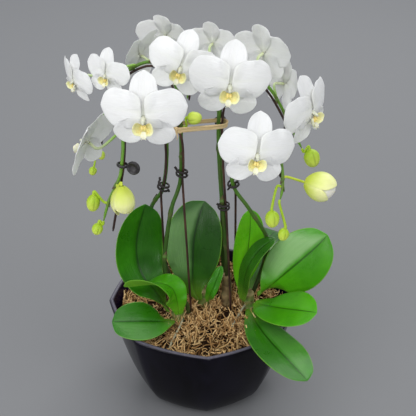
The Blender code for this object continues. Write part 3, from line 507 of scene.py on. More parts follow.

# Each leaf: the plant and the side of its stem that it grows from, as an angle from +X, and how far above
# the medium. Then its width, how far its edges rise as a share of half of that, its shade, as bloom the
# painted sheen that pales its left half and the painted shade that darkens its right half, which way its
# upper side faces at the base and at the tip, and its middle line. Lengths are in millimetres, and heights
# above the medium's edge.
LEAVES = {
    "leaf_left_upright": dict(
        plant="left", side=-163, rise=14.5, width=54, fold=0.28, shade="middle", bloom=(0.0, 0.55),
        faces=[(0.7, -0.6, 0.4), (0.4, -0.9, 0.1)],
        route=[(-48, -29, 44), (-60, -23, 57), (-66.8, -17, 77), (-65.5, -12, 103), (-56.2, -10, 137)],
    ),
    "leaf_left_bent": dict(
        plant="left", side=-82, rise=16.4, width=36, fold=0.1, shade="fresh", bloom=(0.0, 0.0),
        faces=[(0.25, -0.9, 0.1), (0.0, 0.9, 0.7)],
        route=[(-26.2, -43, 43), (-31, -46, 61), (-44.4, -47, 68.2), (-62.2, -48, 68), (-78, -48, 65)],
    ),
    "leaf_left_low": dict(
        plant="left", side=-123, rise=7.7, width=42, fold=0.05, shade="middle", bloom=(0.14, 0.2),
        faces=[(0.0, -0.4, 1.0), (-0.1, -0.5, 0.85)],
        route=[(-38, -45, 18), (-56, -53, 25), (-76, -56, 27.5), (-91, -56, 27)],
    ),
    "leaf_centre_tall": dict(
        plant="centre", side=-114, rise=11.2, width=58, fold=0.13, shade="dark", bloom=(0.42, 0.4),
        faces=[(0.0, -1.0, 0.2), (-0.1, -0.95, 0.3)],
        route=[(-10.1, -10.5, 36.1), (-10.4, -7, 65.4), (-9.2, -4, 90.5), (-4, 0, 115.5), (2, 4, 131.8)],
    ),
    "leaf_centre_narrow": dict(
        plant="centre", side=-54, rise=11.3, width=13, fold=0.3, shade="middle", bloom=(0.0, 0.0),
        faces=[(-0.6, -0.8, 0.3), (-0.5, -0.8, 0.2)],
        route=[(8.1, -17.2, 33.4), (14.2, -16.8, 51), (19.2, -14.5, 65.7)],
    ),
    "leaf_centre_back": dict(
        plant="centre", side=82, rise=3, width=46, fold=0.15, shade="dark", bloom=(0.0, 0.0),
        faces=[(0.0, -0.6, 1.0), (0.0, 0.25, 1.0)],
        route=[(-3, 28, 30), (-8, 58, 44), (-12, 92, 40), (-13, 112, 30)],
    ),
    # This leaf's bright shade is painted backlight.
    "leaf_right_bright": dict(
        plant="right", side=175, rise=14.3, width=31, fold=0.2, shade="bright", bloom=(0.0, 0.0),
        faces=[(0.1, -1.0, 0.1), (0.15, -1.0, 0.1)],
        route=[(41.3, -6, 48.2), (45.1, -8, 78.5), (46.8, -10, 107.7), (46.2, -10, 131.1)],
    ),
    "leaf_right_edge_on": dict(
        plant="right", side=-133, rise=13.9, width=26, fold=0.15, shade="dark", bloom=(0.0, 0.0),
        faces=[(-0.9, -0.6, 0.3), (-0.8, -0.25, 0.6)],
        route=[(42.3, -20, 48.3), (46, -27, 74.6), (56.3, -28, 94.7), (71.8, -24, 106.2)],
    ),
    "leaf_right_broad": dict(
        plant="right", side=-11, rise=20.5, width=58, fold=0.1, shade="fresh", bloom=(0.86, 0.15),
        faces=[(0.0, -1.0, 0.2), (-0.4, -0.75, 0.55)],
        route=[(66.2, -12, 35.9), (86.5, -24, 67.5), (107.8, -33, 98.1), (120.6, -36, 117.7)],
    ),
    "leaf_right_forward": dict(
        plant="right", side=-43, rise=11.8, width=44, fold=0.1, shade="fresh", bloom=(0.08, 0.1),
        faces=[(0.0, -0.3, 1.0), (0.1, -0.6, 0.8)],
        route=[(65, -36, 31.2), (81.2, -56, 43.2), (96.9, -72, 53.4), (109, -82, 58.9)],
    ),
    "leaf_right_hanging": dict(
        plant="right", side=-86, rise=4.7, width=44, fold=0.12, shade="middle", bloom=(0.16, 0.2),
        faces=[(0.0, -0.3, 1.0), (0.2, -0.5, 0.9)],
        route=[(54, -45, 16), (67, -80, 20), (81.5, -112, 25), (96, -140, 26)],
    ),
    "leaf_right_back": dict(
        plant="right", side=107, rise=5.1, width=44, fold=0.15, shade="dark", bloom=(0.0, 0.0),
        faces=[(0.0, -0.4, 1.0), (0.1, 0.2, 1.0)],
        route=[(51, 26, 28), (64, 54, 41), (78, 83, 40), (86, 100, 32)],
    ),
}

# Shades of the upper side, dark and pale, and of the underside. Young leaves are brighter, and the bright
# shade is painted backlight: a leaf lit through from behind.
LEAF_SHADES = {
    "dark": ((0.010, 0.070, 0.0015), (0.026, 0.135, 0.004), (0.050, 0.140, 0.010)),
    "middle": ((0.016, 0.125, 0.0015), (0.040, 0.235, 0.004), (0.070, 0.200, 0.010)),
    "fresh": ((0.038, 0.235, 0.002), (0.080, 0.375, 0.005), (0.110, 0.300, 0.012)),
    # Painted backlight: the glow of a leaf with the light shining through it from behind.
    "bright": ((0.070, 0.320, 0.002), (0.135, 0.450, 0.008), (0.160, 0.380, 0.020)),
}


def above_medium(point):
    """A point given in millimetres, with its height above the medium's edge."""
    return 0.001 * Vector(point) + Vector((0, 0, MEDIUM_EDGE))


def point_along(route, share):
    """The point at this share of a route's length."""
    lengths = [(b - a).length for a, b in zip(route, route[1:])]
    left = share * sum(lengths)
    for a, b, length in zip(route, route[1:], lengths):
        if left <= length:
            return a.lerp(b, left / length)
        left -= length
    return route[-1].copy()


def direction_along(route, share):
    ahead = point_along(route, min(1.0, share + 0.01))
    return (ahead - point_along(route, max(0.0, share - 0.01))).normalized()


def smooth_route(points, steps):
    """A Catmull-Rom curve through the points, as steps + 1 points evenly spaced along it."""
    points = [Vector(p) for p in points]
    points = [2 * points[0] - points[1], *points, 2 * points[-1] - points[-2]]
    fine = []
    for a, b, c, d in zip(points, points[1:], points[2:], points[3:]):
        for k in range(12):
            t = k / 12
            even = 2 * b + (c - a) * t + (2 * a - 5 * b + 4 * c - d) * t**2
            fine.append(0.5 * (even + (3 * b - a - 3 * c + d) * t**3))
    fine.append(points[-2])
    return [point_along(fine, k / steps) for k in range(steps + 1)]


def beside_stem(plan, half_thickness):
    """Where something this thick starts, against the side of its plant's stem."""
    stem = PLANTS[plan["plant"]]
    reach = stem["radius"] + half_thickness + 3 * CLEARANCE
    at = Vector((*stem["place"], 0.0)) + reach * heading(math.radians(plan["side"]))
    at.z = medium_height(at.x, at.y) + 0.001 * plan["rise"]
    return at


def leaf_swell(share):
    """Width at a share of the length: 0 at the base, 1 at the widest, falling to a round tip."""
    widest = 0.58
    if share < widest:
        return math.sin(0.5 * math.pi * share / widest) ** 1.3
    return math.sqrt(max(0.0, 1 - ((share - widest) / (1 - widest)) ** 2.3))


def add_blade(body, stations, half_widths, lanes, sag, thick, extra=None):
    """A thin closed blade. Stations are (middle, across, facing); sag and thick take (share, out)."""
    rings, along, across, upper = [], [], [], []
    last = len(stations) - 1
    outs = [2 * k / lanes - 1 for k in range(lanes + 1)]
    for i, ((middle, sideways, face), half) in enumerate(zip(stations, half_widths)):
        share = i / last
        top, under = [], []
        for out in outs:
            point = middle + sideways * (half * out) + face * sag(share, out)
            depth = 0.5 * thick(share, out)
            top.append(point + face * depth)
            under.append(point - face * depth)
        rings.append(top + under[::-1])
        along.append(share)
        across.append(outs + outs[::-1])
        upper.append([1.0] * len(outs) + [0.0] * len(outs))
    body.add(rings, {"along": along, "across": across, "upper": upper, **(extra or {})})


def leaf_finish(name, shades):
    upper_dark, upper_pale, under_colour = shades
    finish = Finish(name, 0.34, [("Coat Roughness", 0.26)], (0.12, (0.5, 1.0, 0.15), 0.002))
    along, across, upper, bloom, dusk = finish.marks("along", "across", "upper", "bloom", "dusk")
    out = abs(across)
    veins = finish.noise(3.0, 3.0, 0.6, flat=(across * 9.0, along * 1.1))
    cloud = finish.noise(38.0, 4.0, 0.6)
    speck = finish.noise(900.0, 2.0)
    colour = finish.mix(finish.ease(cloud, 0.30, 0.75) * 0.65 + 0.35 * veins, upper_dark, upper_pale)
    midrib = 1 - finish.ease(out, 0.010, 0.055)
    colour = finish.mix(midrib * 0.80, colour, tuple(0.25 * c for c in upper_dark))
    # The bloom marks paint light: a painted sheen on the left half of the blade and painted shade on its
    # right half.
    left = finish.ease(0 - across + 0.16 * (cloud - 0.5), 0.01, 0.22)
    middle = finish.ease(along, 0.16, 0.42) * (1 - finish.ease(along + 0.25 * out, 0.90, 1.10))
    painted_sheen = bloom * left * middle * (0.70 + 0.45 * veins)
    colour = finish.mix(painted_sheen, colour, (0.27, 0.47, 0.19))
    colour = finish.mix(dusk * (1 - left), colour, tuple(0.40 * c for c in upper_dark))
    base = 1 - finish.ease(along, 0.04, 0.30)
    colour = finish.mix(base * 0.50, colour, (0.14, 0.30, 0.020))
    below = finish.mix(midrib * 0.6, (*under_colour,), tuple(1.5 * c for c in under_colour))
    colour = finish.mix(upper, below, colour)
    rim = finish.ease(out, 0.955, 1.0)
    colour = finish.mix(rim * 0.60, colour, (0.16, 0.34, 0.030))
    finish.feed("Coat Weight", 0.06 * upper)
    relief = 0.6 * veins + 0.4 * cloud + 0.10 * speck
    return finish.wear(colour, 0.23 + 0.12 * cloud + 0.22 * (1 - upper), relief, 0.0009, 0.55)


def make_leaf_piece(name, plan, finish):
    base = beside_stem(plan, LEAF_THICKNESS / 2)
    route = smooth_route([base, *map(above_medium, plan["route"])], LEAF_STATIONS)
    inwards = Vector((0, 0, 0.4)) - heading(math.radians(plan["side"]))
    first_face, last_face = (Vector(face) for face in plan["faces"])
    if inwards.dot(first_face) < 0:
        inwards.negate()  # this one turns its back on its stem
    width = 0.001 * plan["width"]
    stations, halves = [], []
    for i, point in enumerate(route):
        share = i / LEAF_STATIONS
        along = direction_along(route, share)
        face = first_face.lerp(last_face, share)
        if share < LEAF_NECK:
            face = inwards.lerp(first_face, share / LEAF_NECK)
        normal = square_to(face, along)
        stations.append((point, along.cross(normal), normal))
        narrow = LEAF_BASE_WIDTH if share < 0.5 else 0.02 * width
        halves.append(0.5 * (narrow + (width - narrow) * leaf_swell(share)))

    def sag(share, out):
        half = halves[round(share * LEAF_STATIONS)]
        groove = 0.0011 * math.exp(-((out / 0.09) ** 2)) * min(1.0, 6 * (1 - share))
        wave = math.sin(9 * share + 80 * width)
        ripple = 0.0010 * wave * out**3 * math.sin(math.pi * share)
        crease = 0.55 * out**2 + 0.45 * abs(out) ** 1.2
        return plan["fold"] * half * crease - groove + ripple

    def thick(share, out):
        keel = 1 + 0.25 * math.exp(-((out / 0.16) ** 2))
        return LEAF_THICKNESS * keel * (1 - 0.72 * abs(out) ** 2.5) * (1 - 0.35 * share**4)

    leaf = Body()
    # The bloom pair: how much painted sheen and how much painted shade the blade's two halves get.
    marks = {mark: [value] * len(stations) for mark, value in zip(("bloom", "dusk"), plan["bloom"])}
    add_blade(leaf, stations, halves, LEAF_LANES, sag, thick, marks)
    leaf.piece(f"{name}_blade", finish, "leaf", [name], subdivide=1)


leaf_finishes = {shade: leaf_finish(f"leaf_{shade}", shades) for shade, shades in LEAF_SHADES.items()}
for name, plan in LEAVES.items():
    make_leaf_piece(name, plan, leaf_finishes[plan["shade"]])

# ---- Flower spikes ------------------------------------------------------------------------------
# Round green stalks as thick as a pencil lead, flushed brown low down. Each joint is a slight swelling
# with a small dry scale wrapped over it. Growers bend them while young, and the arch stays.

SPIKE_RADIUS = 0.0024
SPIKE_TIP_RADIUS = 0.0012
SPIKE_STEPS = 150
SPIKE_SIDES = 12
SCALE_LENGTH = 0.0085

# Each spike: where it leaves its plant's stem, the point that it arches round, where its wire stands in the
# medium, the side of the spike that the wire comes up on and the share of the spike's length where it ends,
# the shares that are tied to the wire, those of its joints, and its middle line. Lengths are in millimetres.
SPIKES = {
    "left_front": dict(
        plant="left", side=76, rise=8, arch_centre=(-52, -64, 201),
        wire_foot=(-38.5, -4), wire_side=(0.0, -1.0, 0.0), wire_end=0.88, wire_tip=(-79.6, -86, 154.9),
        ties=(0.44, 0.86), joints=(0.1, 0.22, 0.37, 0.69, 0.79, 0.905, 0.955),
        route=[(-30, -6, 31), (-39.5, 7, 51), (-50, 11, 86), (-52, 2, 121), (-46, -18, 146),
               (-38.5, -30, 163.3), (-34, -31, 186), (-32.5, -34, 221), (-37, -46, 253), (-51, -65, 270),
               (-64, -80, 258), (-66.5, -89, 236), (-70, -91, 213), (-80, -91, 191), (-86.5, -91, 169)],
    ),
    "left_back": dict(
        plant="left", side=15, rise=8, arch_centre=(-58, -10, 211),
        wire_foot=(-12.5, -21), wire_side=(0.6, -0.8, 0.0), wire_end=1.0,
        ties=(0.44, 0.93), joints=(0.09, 0.19, 0.32, 0.48, 0.555, 0.62, 0.68, 0.72, 0.77, 0.82, 0.955),
        route=[(-15.5, -28.5, 25), (-23, -30, 38), (-34.5, -27.5, 54), (-38.5, -26.5, 76),
               (-34.5, -28.5, 116), (-28.5, -30, 149), (-20.8, -30, 175.2), (-19.5, -30, 227),
               (-22, -18, 260), (-40, -2, 280), (-65, -6, 276), (-82, -14, 258), (-91.5, -20, 228),
               (-98.5, -21, 199)],
    ),
    "middle_right": dict(
        plant="sheathed", arch_centre=(48, -22, 211),
        wire_foot=(29, -15), wire_side=(0.9, -0.4, 0.0), wire_end=0.98,
        ties=(0.285, 0.935), joints=(0.12, 0.3, 0.47, 0.66, 0.76, 0.84, 0.89),
        route=[(24, -9, 76), (21.5, -15, 111), (18.5, -20, 145), (15, -20, 201), (15.5, -20, 241),
               (25, -18, 269), (44, -18, 275), (60, -19.5, 263), (73, -22, 242), (83.5, -27, 222),
               (90.5, -30, 209)],
    ),
    "right_front": dict(
        plant="right", side=55, rise=15.1, arch_centre=(50, -68, 191),
        wire_foot=(35, 30), wire_side=(0.0, 1.0, 0.0), wire_end=0.94,
        ties=(0.515,), joints=(0.12, 0.24, 0.38, 0.58, 0.8, 0.94, 0.965),
        route=[(62, 8, 48), (66.5, 3, 73), (65, -8.5, 94), (58, -23.5, 117), (43, -30, 145.6),
               (28.9, -31, 169.3), (26.5, -37, 201), (34, -50, 231), (50, -68, 244), (65, -82, 231),
               (69, -89, 207), (67.5, -91, 191)],
    ),
    "back": dict(
        plant="sheathed", side=95, rise=7.6, arch_centre=(-4, 60, 206),
        wire_foot=(28, 27), wire_side=(0.6, 0.6, 0.0), wire_end=1.0,
        ties=(0.62,), joints=(0.2, 0.45, 0.78),
        route=[(21, 14, 51), (19, 18, 121), (16, 16, 191), (14, 18, 236), (7, 31, 256), (-5, 50, 254),
               (-13, 66, 234), (-16, 74, 211)],
    ),
}


def spike_points(spike, steps=34):
    """A spike's middle line, from beside its plant's stem, or from the top of a stem that it ends."""
    plan = SPIKES[spike]
    stem = PLANTS[plan["plant"]]
    x, y = stem["place"]
    start = Vector((x, y, medium_height(x, y) + stem["rise"] + 2 * CLEARANCE))
    if "side" in plan:
        start = beside_stem(plan, SPIKE_RADIUS)
    return smooth_route([start, *map(above_medium, plan["route"])], steps)


def spike_radius(share):
    return SPIKE_RADIUS + (SPIKE_TIP_RADIUS - SPIKE_RADIUS) * share


def spike_finish():
    finish = Finish("spike_green", 0.35, flesh=(0.15, (0.5, 1.0, 0.2), 0.0015))
    along, joint = finish.marks("along", "joint")
    streak = finish.noise(240.0, 3.0, stretch=(1.0, 1.0, 0.18))
    patch = finish.noise(60.0, 4.0)
    colour = finish.ramp(along + 0.18 * (patch - 0.5), [
        (0.00, (0.040, 0.060, 0.014)), (0.16, (0.028, 0.070, 0.010)),
        (0.42, (0.045, 0.130, 0.010)), (1.00, (0.140, 0.310, 0.026)),
    ])
    colour = finish.mix(finish.ease(streak, 0.48, 0.70) * 0.40, colour, (0.060, 0.045, 0.022))
    colour = finish.mix(joint * 0.55, colour, (0.115, 0.090, 0.040))
    return finish.wear(colour, 0.34 + 0.22 * patch, streak, 0.0005, 0.6)


def scale_finish():
    finish = Finish("dry_scale", 0.5)
    along, across = finish.marks("along", "across")
    rib = finish.noise(2.0, 2.0, flat=(across * 8.0, along))
    colour = finish.mix(finish.ease(along + 0.3 * rib, 0.25, 0.95), (0.10, 0.20, 0.035), (0.10, 0.062, 0.030))
    return finish.wear(colour, 0.7, rib, 0.0004)


def add_scale(body, route, share, turn, length):
    """A small pointed scale, wrapped over the spike above a joint."""
    across_start = square_to((0.31, 0.95, 0.12), direction_along(route, share))
    stations, halves = [], []
    steps = 7
    span = length / sum((b - a).length for a, b in zip(route, route[1:]))
    for k in range(steps + 1):
        at = min(1.0, share + span * k / steps)
        along = direction_along(route, at)
        side = square_to(across_start, along)
        face = math.cos(turn) * side + math.sin(turn) * along.cross(side)
        lift = spike_radius(at) + 0.0004 + 0.0010 * (k / steps) ** 2
        stations.append((point_along(route, at) + lift * face, face.cross(along), face))
        halves.append(0.0026 * (1 - (k / steps) ** 1.6) + 0.0001)
    add_blade(body, stations, halves, 6, lambda share, out: -0.0022 * (1 - share) * out**2,
              lambda share, out: 0.0004)


scale = scale_finish()
green_spike = spike_finish()
for spike, plan in SPIKES.items():
    route = smooth_route(spike_points(spike), SPIKE_STEPS)
    shares = [k / SPIKE_STEPS for k in range(SPIKE_STEPS + 1)]
    radii, swellings = [], []
    for share in shares:
        near = max([math.exp(-(((share - joint) / 0.0075) ** 2)) for joint in plan["joints"]])
        ending = math.sqrt(max(0.15, min(1.0, (1 - share) * 60)))
        radii.append(spike_radius(share) * (1 + 0.20 * near) * ending)
        swellings.append(near)
    stalk = Body()
    stalk.add(tube_rings(route, radii, SPIKE_SIDES), {"along": shares, "joint": swellings})
    stalk.piece(f"spike_{spike}_stalk", green_spike, "stem", [f"spike_{spike}"])
    scales = Body()
    for k, joint in enumerate(plan["joints"]):
        add_scale(scales, route, joint, math.pi * k + 0.7, SCALE_LENGTH * (1.25 - 0.7 * joint))
    scales.piece(f"spike_{spike}_scales", scale, "sheath")

# ---- Wires --------------------------------------------------------------------------------------
# Stiff steel wires in a dark brown plastic coat. Each is pushed down into the medium beside its spike,
# stands straight up to the first tie, and is bent over in the arch that the spike then follows.

WIRE_RADIUS = 0.0011
WIRE_IN_MEDIUM = 0.012
WIRE_SIDES = 10


def wire_side_at(spike, route, share):
    """Which side of the spike its wire lies on: the side it comes up on, then the inside of the arch."""
    plan = SPIKES[spike]
    along = direction_along(route, share)
    turn = min(1.0, max(0.0, (share - plan["ties"][0]) / 0.22))
    turn = turn * turn * (3 - 2 * turn)
    coming_up = square_to(plan["wire_side"], along)
    inside = square_to(above_medium(plan["arch_centre"]) - point_along(route, share), along)
    return square_to(coming_up.lerp(inside, turn), along)


def wire_points(spike):
    plan = SPIKES[spike]
    route = spike_points(spike)
    x, y = (0.001 * at for at in plan["wire_foot"])
    clings = plan["ties"][0] - 0.02
    points = []
    for k in range(27):
        share = clings + (plan["wire_end"] - clings) * k / 26
        reach = spike_radius(share) + WIRE_RADIUS + 2 * CLEARANCE
        points.append(point_along(route, share) + reach * wire_side_at(spike, route, share))
    surface = Vector((x, y, medium_height(x, y)))
    foot = surface - (points[0] - surface).normalized() * WIRE_IN_MEDIUM
    free_end = [above_medium(plan["wire_tip"])] if "wire_tip" in plan else []
    return [foot, foot.lerp(points[0], 0.5), *points, *free_end]


def wire_finish():
    finish = Finish("brown_wire", 0.35)
    rubbed = finish.noise(160.0, 4.0, stretch=(1.0, 1.0, 0.3))
    colour = finish.mix(finish.ease(rubbed, 0.45, 0.80), (0.026, 0.010, 0.008), (0.105, 0.042, 0.026))
    return finish.wear(colour, 0.38 + 0.30 * rubbed, rubbed, 0.0003, 0.5)


brown_wire = wire_finish()
for spike in SPIKES:
    points = wire_points(spike)
    fine = smooth_route(points, 110)
    fine = [*points[:1], *[p for p in fine if (p - points[0]).length > 0.002]]
    radii = [WIRE_RADIUS] * len(fine)
    radii[0] = radii[-1] = 0.55 * WIRE_RADIUS
    rod = Body()
    rod.add(tube_rings(fine, radii, WIRE_SIDES), {})
    rod.piece(f"wire_{spike}_rod", brown_wire, "wire", [f"wire_{spike}"])

# ---- Ties and button clip -----------------------------------------------------------------------
# Short lengths of black paper-covered wire, twisted by hand round a spike and its wire with both tails
# left out. One place has a moulded clip instead: a spring collar, opened by pressing a round button.

TIE_RADIUS = 0.0012
TIE_TURNS = 1.6
TIE_TAIL = 0.0019
BUTTON_RADIUS = 0.0060
BUTTON_THICKNESS = 0.0030
COLLAR_RADIUS = 0.0009


def tie_finish():
    finish = Finish("black_tie", 0.4)
    crinkle = finish.noise(900.0, 3.0)
    colour = finish.mix(crinkle, (0.007, 0.006, 0.006), (0.028, 0.021, 0.018))
    return finish.wear(colour, 0.55 + 0.3 * crinkle, crinkle, 0.0003)


def grip(spike, share):
    """Where something grips a spike with its wire: middle, across, towards the wire, and along."""
    route = spike_points(spike)
    along = direction_along(route, share)
    side = wire_side_at(spike, route, share)
    middle = point_along(route, share) + side * (WIRE_RADIUS + CLEARANCE)
    return middle, along.cross(side), side, along


def make_tie_piece(spike, number, share, finish):
    middle, across, side, along = grip(spike, share)
    reach = spike_radius(share) + WIRE_RADIUS + TIE_RADIUS + 3 * CLEARANCE
    points = []
    steps = int(TIE_TURNS * 20)
    for k in range(steps + 1):
        turn = 2 * math.pi * TIE_TURNS * k / steps
        rise = (k / steps - 0.5) * TIE_TURNS * 3.6 * TIE_RADIUS
        points.append(middle + reach * (math.cos(turn) * across + math.sin(turn) * side) + rise * along)
    tails = []
    for end, sign in ((points[0], -1), (points[-1], 1)):
        out = (end - middle).normalized()
        bend = out.cross(along)
        tails.append([])
        for away, raised, turned in ((0.35, 0.05, 0.0), (0.75, 0.25, 0.20), (1.05, 0.30, 0.55)):
            tails[-1].append(end + TIE_TAIL * (away * out + raised * sign * along + turned * bend))
    route = [*reversed(tails[0]), *points, *tails[1]]
    tie = Body()
    tie.add(tube_rings(route, [TIE_RADIUS] * len(route), 8, squash=0.75), {})
    tie.piece(f"tie_{spike}_{number}_twist", finish, "tie", [f"tie_{spike}_{number}"])


def clip_finish():
    finish = Finish("moulded_clip", 0.5)
    grain = finish.noise(500.0, 3.0)
    colour = finish.mix(grain, (0.007, 0.006, 0.007), (0.020, 0.016, 0.018))
    return finish.wear(colour, 0.32 + 0.25 * grain, grain, 0.0002, 0.4)


def make_clip_piece(spike, share, finish):
    middle, across, side, along = grip(spike, share)
    reach = spike_radius(share) + WIRE_RADIUS + COLLAR_RADIUS + 3 * CLEARANCE
    outs = oval(Vector(), across, side, 40)
    clip = Body()
    rings = [oval(middle + reach * out, COLLAR_RADIUS * out, 1.5 * COLLAR_RADIUS * along, 12) for out in outs]
    clip.add(rings, {}, joined=True)
    towards = square_to((1.0, -0.35, 0.0), along)
    centre = middle + towards * (reach + BUTTON_RADIUS * 0.95)
    front = square_to((0.25, -1.0, 0.0), towards)
    half = 0.5 * BUTTON_THICKNESS
    outline = [(0.30, -half), (0.86, -half), (0.98, -0.6 * half), (1.0, 0.0), (0.98, 0.6 * half)]
    outline += [(0.88, half), (0.78, half), (0.70, 0.55 * half), (0.25, 0.40 * half)]
    wide, tall = BUTTON_RADIUS * towards, BUTTON_RADIUS * front.cross(towards)
    clip.add([oval(centre + depth * front, out * wide, out * tall, 36) for out, depth in outline], {})
    clip.piece("button_clip_moulding", finish, "clip", ["button_clip"])


black_tie = tie_finish()
for spike, plan in SPIKES.items():
    for k, share in enumerate(plan["ties"]):
        if (spike, k) == ("left_front", 1):
            make_clip_piece(spike, share, clip_finish())
        else:
            make_tie_piece(spike, k + 1, share, black_tie)

# ---- Raffia tie ---------------------------------------------------------------------------------
# A few strands of natural raffia, wound once round the two upright spikes and their wires and knotted
# at the left, with the ends left loose. It is dry, pale and split along its fibres.

RAFFIA_HEIGHT = 0.230


def point_at_height(route, height):
    """Where a route first rises past this height."""
    for a, b in zip(route, route[1:]):
        if a.z <= height < b.z:
            return a.lerp(b, (height - a.z) / (b.z - a.z))
    return route[-1].copy()


def raffia_finish():
    finish = Finish("raffia", 0.35)
    split = finish.noise(900.0, 3.0, stretch=(0.12, 0.12, 1.0))
    patch = finish.noise(150.0, 3.0)
    colour = finish.mix(split * 0.7 + 0.3 * patch, (0.52, 0.33, 0.13), (0.92, 0.74, 0.44))
    return finish.wear(colour, 0.50 + 0.25 * patch, split, 0.0006)


def ribbon_rings(route, width, thick, facing_at, twist=0.0):
    """A flat ribbon along a route. facing_at gives the way its flat side faces at each point."""
    rings = []
    for i, point in enumerate(route):
        before, after = route[max(0, i - 1)], route[min(len(route) - 1, i + 1)]
        along = (after - before).normalized()
        face = square_to(facing_at(i, point), along)
        wide = along.cross(face)
        turn = twist * i / len(route)
        level, steep = math.cos(turn), math.sin(turn)
        wide, face = level * wide + steep * face, level * face - steep * wide
        rings.append(oval(point, 0.5 * width * wide, 0.5 * thick * face, 10))
    return rings


raffia_height = MEDIUM_EDGE + RAFFIA_HEIGHT
held = []
for spike in ("left_back", "middle_right"):
    held.append(point_at_height(spike_points(spike), raffia_height))
    held.append(point_at_height(wire_points(spike), raffia_height))
left_hold = 0.5 * (held[0] + held[1])
right_hold = 0.5 * (held[2] + held[3])
clear = SPIKE_RADIUS + 2 * WIRE_RADIUS + 4 * CLEARANCE
rightwards = (right_hold - left_hold).normalized()
backwards = Vector((-rightwards.y, rightwards.x, 0.0)).normalized()
rightwards = Vector((backwards.y, -backwards.x, 0.0))


def loop_point(turn, height, out):
    """A point on the loop round both spikes. Turn goes once round from the middle of the front."""
    half_length = 0.5 * (right_hold - left_hold).length
    reach = clear + out
    half_way = 2 * half_length + math.pi * reach
    way = (turn % 1.0) * 2 * half_way
    back = way >= half_way  # the second half of the way mirrors the first, through the middle
    way -= half_way * back
    bend = (way - half_length) / reach - 0.5 * math.pi
    if way < half_length:
        x, y = way, -reach
    elif bend < 0.5 * math.pi:
        x, y = half_length + reach * math.cos(bend), reach * math.sin(bend)
    else:
        x, y = half_way - way, reach
    x, y = (-x, -y) if back else (x, y)
    middle = 0.5 * (left_hold + right_hold)
    point = middle + x * rightwards + y * backwards
    return Vector((point.x, point.y, height))


raffia = Body()
RAFFIA_STRANDS = (
    # start turn, end turn, low and high offsets from the band's middle, out, width, thickness
    (-0.20, 0.84, -0.0015, -0.0010, 0.0006, 0.0030, 0.0005),
    (-0.21, 0.83, 0.0012, -0.0004, 0.0009, 0.0022, 0.0005),
    (-0.19, 0.82, -0.0004, 0.0014, 0.0003, 0.0026, 0.0004),
    (-0.20, 0.30, 0.0022, 0.0002, 0.0012, 0.0012, 0.0004),
)
for first, last, low, high, out, width, thick in RAFFIA_STRANDS:
    centre = 0.5 * (left_hold + right_hold)
    route = []
    for k in range(97):
        share = k / 96
        sway = 0.0005 * math.sin(9 * share + 400 * width)
        height = raffia_height + low + (high - low) * share + sway
        route.append(loop_point(first + (last - first) * share, height, out))

    def outwards(i, point):
        return Vector((point.x - centre.x, 3 * (point.y - centre.y), 0.0))

    raffia.add(ribbon_rings(route, width, thick, outwards, 0.3), {})

knot_at = loop_point(-0.20, raffia_height, 0.0012)
knot_out = -backwards
for turn, tall, wide in ((0.0, 0.0034, 0.0016), (0.5, 0.0030, 0.0022)):
    upwards = Vector((0, 0, tall)) + turn * 0.0016 * rightwards
    loop = oval(knot_at + Vector((0, 0, 0.0002)), upwards, 0.0016 * knot_out, 32)
    raffia.add(ribbon_rings(loop, wide, 0.0007, lambda i, p: p - knot_at), {}, joined=True)
RAFFIA_ENDS = (
    # the way each loose end goes from the knot: right, forward and up in metres, and its width
    ((0.0, 0.0010, -0.0020), (-0.0030, 0.0030, -0.0042), (-0.0052, 0.0030, -0.0046), 0.0016),
    ((0.0, 0.0012, 0.0016), (-0.0022, 0.0034, 0.0026), (-0.0046, 0.0042, 0.0022), 0.0013),
    ((0.0004, 0.0012, -0.0016), (0.0010, 0.0028, -0.0052), (0.0002, 0.0030, -0.0082), 0.0012),
)
for *steps_out, width in RAFFIA_ENDS:
    way = [knot_at]
    for right, forward, up in steps_out:
        way.append(knot_at + right * rightwards - forward * backwards + Vector((0, 0, up)))
    raffia.add(ribbon_rings(smooth_route(way, 14), width, 0.0004, lambda i, p: knot_out, 0.9), {})
raffia.piece("raffia_strands", raffia_finish(), "raffia", ["raffia_tie"])

# ---- Flowers: sepals and petals -----------------------------------------------------------------
# Moth orchid flowers: three sepals behind, then two broad petals that narrow to a claw and lie over
# them. They are waxy white, a little green at the heart, and faintly veined from the claw outwards.

# Each flower: its spike and where it grows on it, its centre in millimetres above the medium's edge, how far
# in degrees it is turned from -Y towards +X, raised, and rolled, and its span in millimetres.
FLOWERS = {
    "flower_01": ("left_front", 0.69, (-46.6, -102, 274.5), (-3, -2, 0), 71),
    "flower_02": ("left_front", 0.79, (-99, -60, 230), (-112, 20, 0), 68),
    "flower_03": ("left_back", 0.82, (-114, -12, 268), (-50, -8, -10), 48),
    "flower_04": ("left_back", 0.77, (-83.1, -32, 281.5), (-26, 0, -6), 44),
    "flower_05": ("left_back", 0.72, (-57, 24, 277), (-128, 15, 10), 56),
    "flower_06": ("left_back", 0.68, (-35.5, 42, 289), (160, 20, 0), 54),
    "flower_07": ("left_back", 0.62, (-18.4, -36, 290), (-4, 0, -18), 62),
    "flower_08": ("middle_right", 0.66, (23.2, -62, 284.5), (2, -2, -6), 71),
    "flower_09": ("back", 0.78, (9.2, 56, 276.5), (165, 10, 0), 50),
    "flower_10": ("middle_right", 0.76, (55.7, 20, 281), (150, 10, 0), 60),
    "flower_11": ("middle_right", 0.89, (94.5, -42, 251), (50, 2, 12), 66),
    "flower_12": ("right_front", 0.8, (45, -103, 241.3), (8, 5, -8), 66),
    "flower_13": ("middle_right", 0.84, (76.4, 22, 250), (120, -8, 0), 54),
}

# Shares of a flower's span, seen from its front: direction in degrees, length, half width
DORSAL_SEPAL = (90, 0.54, 0.160)
LATERAL_SEPALS = ((-49, 0.465, 0.165), (-131, 0.465, 0.165))
PETALS = ((2, 0.50, 0.250), (178, 0.50, 0.250))
PETALS_ABOVE = 0.080  # how far the petals' middle lines lie above the column
TEPAL_STATIONS = 14
TEPAL_LANES = 12
TEPAL_THICKNESS = 0.011
FLOWER_REFLEX = 0.17  # how far the rim of the flower falls back


